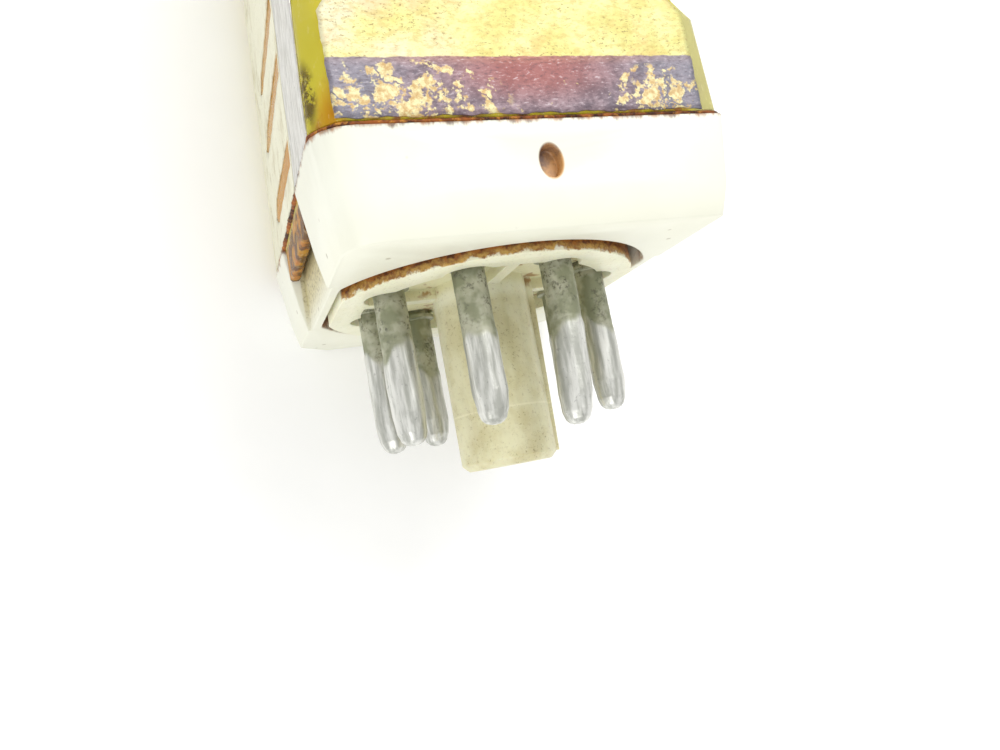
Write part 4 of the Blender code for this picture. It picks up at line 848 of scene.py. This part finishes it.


# ---------------------------------------------------------------- cover
# The snap-on box, moulded in clear polycarbonate that has yellowed to amber: a skirt, a shoulder where
# the cut corners widen, and a tongue on each side that clips into the base's channel. The side
# label's edges are needed here too, because the wall behind it is painted deep orange, as painted
# light for the light that passes through it.
SIDE_LEAN = math.tan(math.radians(1.9))
FRONT_LEAN = math.tan(math.radians(0.4))
SKIRT_HEIGHT = 14.2
SHOULDER = SKIRT_HEIGHT + 1.4
SHARP_CORNER = 0.4
SKIRT_CORNER = 1.5
UPPER_CORNER = 2.0
TOP_EDGE = 1.5
COVER_WALL = 1.3
TONGUE_HALF = 6.2
TONGUE_DROP = COVER_FOOT - 4.2
side_low, side_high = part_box("side_label")
SIDE_TOP = side_high.y / MM - SEAT
PLATE_BACK_EDGE = side_low.z / MM - AXIS
PLATE_FRONT_EDGE = 5.9


def side_at(height):
    """Half width of the cover's outside at a height."""
    return COVER_HALF_WIDTH - (height - COVER_FOOT) * SIDE_LEAN


def front_at(height):
    """How far the cover's front stands from the axis at a height."""
    return COVER_FRONT - (height - COVER_FOOT) * FRONT_LEAN


def cover_surface():
    """The cover as one closed skin: down the outside from the lid's middle, round the foot and back up.

    Each row is the cut-corner outline at one height, with a depth into the wall and an inset for the
    lid's rounded edge. Four rows at the foot drop by the tongue's length where the tongues are. Below
    the shoulder the right front corner is nearly sharp.
    """
    rows = [(COVER_TOP, 0, UPPER_CORNER, TOP_EDGE, 0)]
    for share in (0.25, 0.5, 0.75, 1.0):
        turn = (1 - share) * math.pi / 2
        sunk = TOP_EDGE * (1 - math.sin(turn))
        drawn_in = TOP_EDGE * (1 - math.cos(turn))
        rows.append((COVER_TOP - sunk, 0, UPPER_CORNER, drawn_in, 0))
    rows += [(SHOULDER + 0.25, 0, UPPER_CORNER, 0, 0), (SHOULDER - 0.05, 0, UPPER_CORNER - 0.08, 0, 0),
             (SKIRT_HEIGHT + 0.1, 0, SKIRT_CORNER + 0.08, 0, 0), (SKIRT_HEIGHT - 0.15, 0, SKIRT_CORNER, 0, 0),
             (COVER_FOOT + 0.12, 0, SKIRT_CORNER, 0, 0), (COVER_FOOT, 0.1, SKIRT_CORNER, 0, 0),
             (COVER_FOOT, 0.1, SKIRT_CORNER, 0, 0.95), (COVER_FOOT, 0.25, SKIRT_CORNER, 0, 1),
             (COVER_FOOT, 0.75, SKIRT_CORNER, 0, 1), (COVER_FOOT, 0.9, SKIRT_CORNER, 0, 0.95),
             (COVER_FOOT, 0.9, SKIRT_CORNER, 0, 0), (COVER_FOOT + 0.08, COVER_WALL, SKIRT_CORNER, 0, 0),
             (SKIRT_HEIGHT, COVER_WALL, SKIRT_CORNER, 0, 0), (SHOULDER, COVER_WALL, UPPER_CORNER, 0, 0),
             (COVER_TOP - COVER_WALL - 0.5, COVER_WALL, UPPER_CORNER, 0, 0),
             (COVER_TOP - COVER_WALL, COVER_WALL, UPPER_CORNER, 0.5, 0)]
    height, wall, corner, inset, drop = np.array(rows).T[:, :, None]
    right = np.interp(corner, (SKIRT_CORNER, UPPER_CORNER), (SHARP_CORNER, UPPER_CORNER))
    sizes = [np.maximum(size - 0.6 * wall, SHARP_CORNER / 2) for size in (right, corner, corner, corner)]
    stops = np.array([3, TONGUE_HALF, TONGUE_HALF + 0.05, 9.5])
    stops = np.concatenate([-stops[::-1], [0], stops])
    outline = cut_corner_outline(side_at(height) - wall - inset, front_at(height) - wall - inset,
                                 COVER_BACK + wall + inset, sizes, 0.22, stops,
                                 np.linspace(0.12, 0.88, 7))
    x, z = outline[..., 0], outline[..., 1]
    on_side = (np.abs(z) <= TONGUE_HALF + 0.01) & (np.abs(x) > 11)
    y = height - TONGUE_DROP * drop * on_side
    points = np.stack([x, y, z], -1)
    lid = np.zeros((1,) + points.shape[1:])
    lid[..., 1] = COVER_TOP
    ceiling = lid + (0, -COVER_WALL, 0)
    return np.concatenate([lid, points, ceiling])


def amber_polycarbonate(tree):
    """Yellowed clear plastic: the colour is seen through, the gloss and the dirt lie on its faces."""
    place = relay_mm(tree)
    x, y, z = axes(tree, place)
    far_z = node(tree, "Math", {0: z}, operation="ABSOLUTE")
    age = ramp(tree, grain(tree, place, 6.0, 3.0), 0.35, 0.65)
    seen_through = over(tree, age, "#FFF08C", "#FFF6AC")
    # stained deeper near the foot, worst at the front left corner and down the tongues
    foot = ramp(tree, y, 12.5, 7.0)
    stain = times(tree, foot, ramp(tree, grain(tree, place, 1.4, 4.0, 0.65, (1, 0.5, 1)), 0.42, 0.68))
    tongue = times(tree, ramp(tree, y, COVER_FOOT - 0.2, COVER_FOOT - 1.0), ramp(tree, far_z, 6.6, 6.3))
    corner = ramp(tree, distance(tree, place, (-13.0, 7.8, 16.2), (0.8, 0.34, 0.8)), 1.2, 0.3)
    deep = node(tree, "Math", {0: tongue, 1: corner}, operation="MAXIMUM")
    seen_through = stained(tree, seen_through, "#D08A2C", stain, 0.7)
    seen_through = stained(tree, seen_through, "#E08A28", deep, 0.8)
    skin_colour = over(tree, stain, over(tree, age, "#F0DE26", "#F6E946"), "#9A5A1E")
    skin_colour = stained(tree, skin_colour, "#B06A10", deep, 0.85)
    # greyer and paler towards the right side
    greyer_right = ramp(tree, x, 11.6, 12.6)
    skin_colour = stained(tree, skin_colour, "#BDB98A", greyer_right, 0.8)
    seen_through = stained(tree, seen_through, "#F6F3CC", greyer_right)
    # painted light: the wall behind the left plate is a deep orange that stands for light passing through the
    # amber
    behind = times(tree, ramp(tree, x, -10.0, -10.5),
                   ramp(tree, z, PLATE_FRONT_EDGE + 0.5, PLATE_FRONT_EDGE + 0.1), ramp(tree, y, 7.2, 7.6),
                   ramp(tree, z, PLATE_BACK_EDGE + 0.1, PLATE_BACK_EDGE + 0.5),
                   ramp(tree, y, SIDE_TOP - 0.1, SIDE_TOP - 0.5))
    skin_colour = stained(tree, skin_colour, "#B87200", behind, 0.9)
    # painted shadow: a thin dark line along the strip's edge
    strip_edge_shadow = times(tree, behind, ramp(tree, z, PLATE_FRONT_EDGE - 0.15, PLATE_FRONT_EDGE - 0.05))
    skin_colour = stained(tree, skin_colour, "#3A2A12", strip_edge_shadow)
    grime = times(tree, tongue, ramp(tree, grain(tree, place, 1.3, 3.0, 0.45), 0.42, 0.58))
    dark_spot = ramp(tree, distance(tree, place, (-13.7, 9.6, 14.8), (1.1, 0.42, 1.1)), 1.1, 0.5)
    spot = times(tree, dark_spot, ramp(tree, grain(tree, place, 0.8, 4.0, 0.7), 0.40, 0.55))
    grime = node(tree, "Math", {0: grime, 1: spot}, operation="MAXIMUM")
    skin_colour = stained(tree, skin_colour, "#4A2A12", grime, 0.85)
    scuff = ramp(tree, grain(tree, place, 0.5, 5.0, 0.7, (1, 0.4, 1)), 0.55, 0.75)
    skin_colour = stained(tree, skin_colour, "#F4ECB0", scuff, 0.4)
    gloss = node(tree, "MapRange", {"Value": grain(tree, place, 0.8, 4.0), "To Min": 0.08, "To Max": 0.28})
    skin = node(tree, "Bump", {"Height": grain(tree, place, 1.5, 3.0), "Strength": 0.12,
                               "Distance": 0.06 * MM})
    clear = node(tree, "BsdfTransparent", {"Color": seen_through})
    dulled = node(tree, "Math", {0: behind, 1: deep}, operation="MAXIMUM")
    sheen = node(tree, "MapRange", {"Value": dulled, "To Min": 0.5, "To Max": 0.06})
    face = node(tree, "BsdfPrincipled", {"Base Color": skin_colour, "Roughness": gloss, "Normal": skin,
                                         "IOR": 1.58,
                                         "Specular IOR Level": sheen})
    haze = node(tree, "Math", {0: times(tree, stain, 0.20), 1: 0.55}, operation="ADD")
    haze = node(tree, "Math", {0: haze, 1: times(tree, scuff, 0.10)}, operation="ADD")
    haze = node(tree, "Math", {0: haze, 1: times(tree, dulled, 0.35)}, operation="ADD", use_clamp=True)
    return node(tree, "MixShader", {0: haze, 1: clear, 2: face})


cover_piece = surface("cover_moulding", cover_surface(), sharp=50)
fit(cover_piece, material("amber_polycarbonate", amber_polycarbonate), "amber_cover", "cover", "cover")


# ---------------------------------------------------------------- front label
# A foil nameplate stuck on the front, its printing gone: pale gold above, and below a band whose
# lacquer has lifted so that the foil has turned mauve, grey and red, with bare patches.
label_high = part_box("front_label")[1]
LABEL_HALF = label_high.x / MM
LABEL_TOP = label_high.y / MM - SEAT
LABEL_FOOT = COVER_FOOT + 0.12
LABEL_BAND = 11.2
LABEL_THICKNESS = 0.12


def label_surface():
    """Front skin of the label: flat on the cover, drawn in with it above the shoulder, a little rippled."""
    height = np.union1d(np.linspace(LABEL_FOOT, LABEL_TOP, 90), [SKIRT_HEIGHT, SHOULDER])[:, None]
    share = np.linspace(-1, 1, 81)[None, :]
    above = np.clip((height - SKIRT_HEIGHT) / (SHOULDER - SKIRT_HEIGHT), 0, 1)
    half = LABEL_HALF + (side_at(height) - UPPER_CORNER - 0.1 - LABEL_HALF) * above
    ragged = 0.03 * np.sin(3.1 * height) + 0.02 * np.sin(7.7 * height)
    x = share * (half + ragged)
    foot = 0.05 * np.sin(1.9 * x) + 0.03 * np.sin(5.3 * x + 1)
    y = height + foot * np.clip((LABEL_FOOT + 0.8 - height) / 0.8, 0, 1)
    lift = 0.03 * np.sin(0.9 * x + 0.3 * y) * np.sin(0.55 * y) + 0.015 * np.sin(2.7 * x - 1.9 * y)
    z = front_at(y) + LABEL_THICKNESS + lift
    return np.stack(np.broadcast_arrays(x, y, z), -1)


def aged_foil(tree):
    """Lacquered foil: pale gold with brown pits above, a corroded mauve band with bare patches below."""
    place = relay_mm(tree)
    x, y = axes(tree, place)[:2]
    fibre = grain(tree, place, 0.25, 5.0, 0.7, (0.6, 1.4, 1))
    # upper field
    gold = over(tree, ramp(tree, grain(tree, place, 3.2, 4.0, 0.6), 0.35, 0.65), "#E4E29C", "#D6CE7A")
    pale = times(tree, ramp(tree, x, 0.0, -9.0), ramp(tree, grain(tree, place, 4.0, 3.0), 0.35, 0.6))
    gold = stained(tree, gold, "#E6E0C2", pale, 0.8)
    blush = ramp(tree, grain(tree, place, 2.0, 4.0, 0.65), 0.50, 0.70)
    gold = stained(tree, gold, "#D6A666", blush, 0.40)
    scurf = ramp(tree, grain(tree, place, 0.45, 5.0, 0.7, (0.7, 1.3, 1)), 0.46, 0.62)
    gold = stained(tree, gold, "#BFA050", scurf, 0.40)
    pits = ramp(tree, grain(tree, place, 0.22, 5.0, 0.75, (0.7, 1.3, 1)), 0.55, 0.64)
    crowded = ramp(tree, grain(tree, place, 3.0, 3.0), 0.35, 0.62)
    crowded = node(tree, "MapRange", {"Value": crowded, "To Min": 0.15, "To Max": 0.80})
    gold = stained(tree, gold, "#7C5226", pits, crowded)
    # band
    mauve = over(tree, ramp(tree, grain(tree, place, 1.6, 5.0, 0.7), 0.35, 0.65), "#665862", "#9A858C")
    middle = distance(tree, place, (0.5, 10.4, 16), (0.16, 0.40, 0))
    mauve = stained(tree, mauve, "#9C5248", ramp(tree, middle, 1.25, 0.2), 0.8)
    top = ramp(tree, y, 10.5, 11.2)
    mauve = stained(tree, mauve, "#C08468", top, 0.35)
    ends = ramp(tree, node(tree, "Math", {0: x}, operation="ABSOLUTE"), 6.0, 11.5)
    mauve = stained(tree, mauve, "#868A96", ends, 0.6)
    mauve = stained(tree, mauve, "#55424A", ramp(tree, fibre, 0.50, 0.66), 0.55)
    mauve = stained(tree, mauve, "#D9CCD0", ramp(tree, fibre, 0.45, 0.30), 0.5)
    # bare blotches between grey lines, thickest at the two lower corners
    left = distance(tree, place, (-8.4, 8.4, 16), (0.20, 0.50, 0))
    right = distance(tree, place, (9.4, 8.3, 16), (0.36, 0.60, 0))
    near = node(tree, "Math", {0: left, 1: right}, operation="MINIMUM")
    worn = node(tree, "Math", {0: near, 1: -0.17, 2: grain(tree, place, 1.1, 5.0, 0.6)},
                operation="MULTIPLY_ADD")
    line = node(tree, "Math", {0: grain(tree, place, 1.7, 4.0, 0.6), 1: 0.5}, operation="SUBTRACT")
    line = node(tree, "Math", {0: line}, operation="ABSOLUTE")
    blots = times(tree, ramp(tree, worn, 0.34, 0.39), ramp(tree, line, 0.015, 0.045),
                  ramp(tree, near, 1.5, 1.3))
    few = times(tree, ramp(tree, grain(tree, place, 0.9, 4.0, 0.6), 0.64, 0.70), ramp(tree, y, 10.2, 8.8))
    patch = over(tree, ramp(tree, grain(tree, place, 0.4, 5.0, 0.7), 0.35, 0.65), "#EFE6AE", "#C49E5C")
    mauve = stained(tree, mauve, "#E0CC88", few, 0.8)
    mauve = stained(tree, mauve, patch, blots, 0.9)
    edge = node(tree, "Math", {0: grain(tree, place, 0.7, 3.0), 1: 0.25, 2: y}, operation="MULTIPLY_ADD")
    colour = over(tree, ramp(tree, edge, LABEL_BAND + 0.10, LABEL_BAND + 0.18), mauve, gold)
    rough = node(tree, "MapRange", {"Value": fibre, "To Min": 0.30, "To Max": 0.62})
    skin = node(tree, "Bump", {"Height": fibre, "Strength": 0.5, "Distance": 0.05 * MM})
    return node(tree, "BsdfPrincipled", {"Base Color": colour, "Metallic": 0.15, "Roughness": rough,
                                         "Normal": skin})


def thicken(piece, thickness, offset):
    """Give a skin its thickness with a live Solidify."""
    wall = piece.modifiers.new("thickness", "SOLIDIFY")
    wall.thickness = thickness * MM
    wall.offset = offset
    wall.use_even_offset = True
    return piece


front_foil = thicken(surface("front_foil", label_surface(), wrap_columns=False), LABEL_THICKNESS, -1)
fit(front_foil, material("aged_foil", aged_foil), "front_label_foil", "cover", "front_label")


# ---------------------------------------------------------------- side labels
# On the left side a bright foil strip and, behind it, a cream plate with three tapering slits that
# let the amber cover show.
STRIP_BACK_EDGE = 6.2
STRIP_FRONT_EDGE = side_high.z / MM - AXIS
SLITS = ((10.5, 2.1, -8.8), (17.2, 2.0, -10.1), (22.0, 1.8, -9.2))
SLIT_FRONT = 5.2
SLIT_TAPER = 2.0


def side_skin(name, back, front, slits):
    """A skin on the left side between two depths; slits are (height, width, rear end) openings.

    Rows stand at each slit's edges, drawn together towards its rear end, and the faces between them
    are left out.
    """
    edges = [height + sign * width / 2 for height, width, _ in slits for sign in (-1, 1)]
    height = np.union1d(np.linspace(LABEL_FOOT, SIDE_TOP, 60), edges)
    gaps = list(zip(edges[::2], edges[1::2]))
    keep = [h for h in height if h in edges or not any(low < h < high for low, high in gaps)]
    height = np.array(keep)[:, None] + np.zeros((1, 1))
    depth = np.linspace(back, front, 61)[None, :]
    y = height + 0 * depth
    for middle, width, rear in slits:
        taper = np.clip((depth - rear) / SLIT_TAPER, 0.04, 1)
        on_edge = np.abs(np.abs(height - middle) - width / 2) < 1e-6
        y = np.where(on_edge, middle + (height - middle) * taper, y)
    ripple = 0.02 * np.sin(0.8 * y + 0.4 * depth) + 0.012 * np.sin(2.3 * depth)
    x = -(side_at(y) + 0.10 + ripple)
    made = surface(name, np.stack([x, y, depth + 0 * y], -1), wrap_columns=False)
    work = bmesh.new()
    work.from_mesh(made.data)
    gone = []
    for face in work.faces:
        at = face.calc_center_median() / MM - Vector((0, SEAT, AXIS))
        for middle, width, rear in slits:
            share = min(max((at.z - rear) / SLIT_TAPER, 0.04), 1)
            if rear < at.z < SLIT_FRONT and abs(at.y - middle) < share * width / 2:
                gone.append(face)
    bmesh.ops.delete(work, geom=gone, context="FACES")
    work.to_mesh(made.data)
    work.free()
    return thicken(made, LABEL_THICKNESS, -1)


def bright_foil(tree):
    """Aluminium foil under clear lacquer: silver-white, finely scratched, with dark pits."""
    place = relay_mm(tree)
    scratch = grain(tree, place, 0.35, 4.0, 0.6, (1, 0.2, 1))
    colour = over(tree, ramp(tree, scratch, 0.35, 0.65), "#B9B8B3", "#DFDEDB")
    pits = ramp(tree, grain(tree, place, 0.4, 5.0, 0.8), 0.58, 0.70)
    colour = stained(tree, colour, "#6E6450", pits, 0.6)
    skin = node(tree, "Bump", {"Height": scratch, "Strength": 0.4, "Distance": 0.04 * MM})
    rough = node(tree, "MapRange", {"Value": scratch, "To Min": 0.25, "To Max": 0.5})
    return node(tree, "BsdfPrincipled", {"Base Color": colour, "Metallic": 0.55, "Roughness": rough,
                                         "Normal": skin})


def cream_plate(tree):
    """Printed plate gone cream: matt, with khaki dirt in patches and fine brown specks."""
    place = relay_mm(tree)
    colour = over(tree, grain(tree, place, 4.0), "#EDEBD6", "#DEDCC0")
    dirt = ramp(tree, grain(tree, place, 1.8, 5.0, 0.7, (1, 0.6, 1)), 0.48, 0.70)
    colour = stained(tree, colour, "#A89868", dirt, 0.5)
    specks = ramp(tree, grain(tree, place, 0.3, 5.0, 0.8), 0.57, 0.69)
    colour = stained(tree, colour, "#6E5A34", specks, 0.55)
    skin = node(tree, "Bump", {"Height": dirt, "Strength": 0.3, "Distance": 0.03 * MM})
    return node(tree, "BsdfPrincipled", {"Base Color": colour, "Roughness": 0.55, "Normal": skin})


fit(side_skin("side_plate", PLATE_BACK_EDGE, PLATE_FRONT_EDGE, SLITS), material("cream_plate", cream_plate),
    "side_label_foil", "cover", "side_label")
fit(side_skin("side_strip", STRIP_BACK_EDGE, STRIP_FRONT_EDGE, ()), material("bright_foil", bright_foil),
    "side_label_foil", "cover")
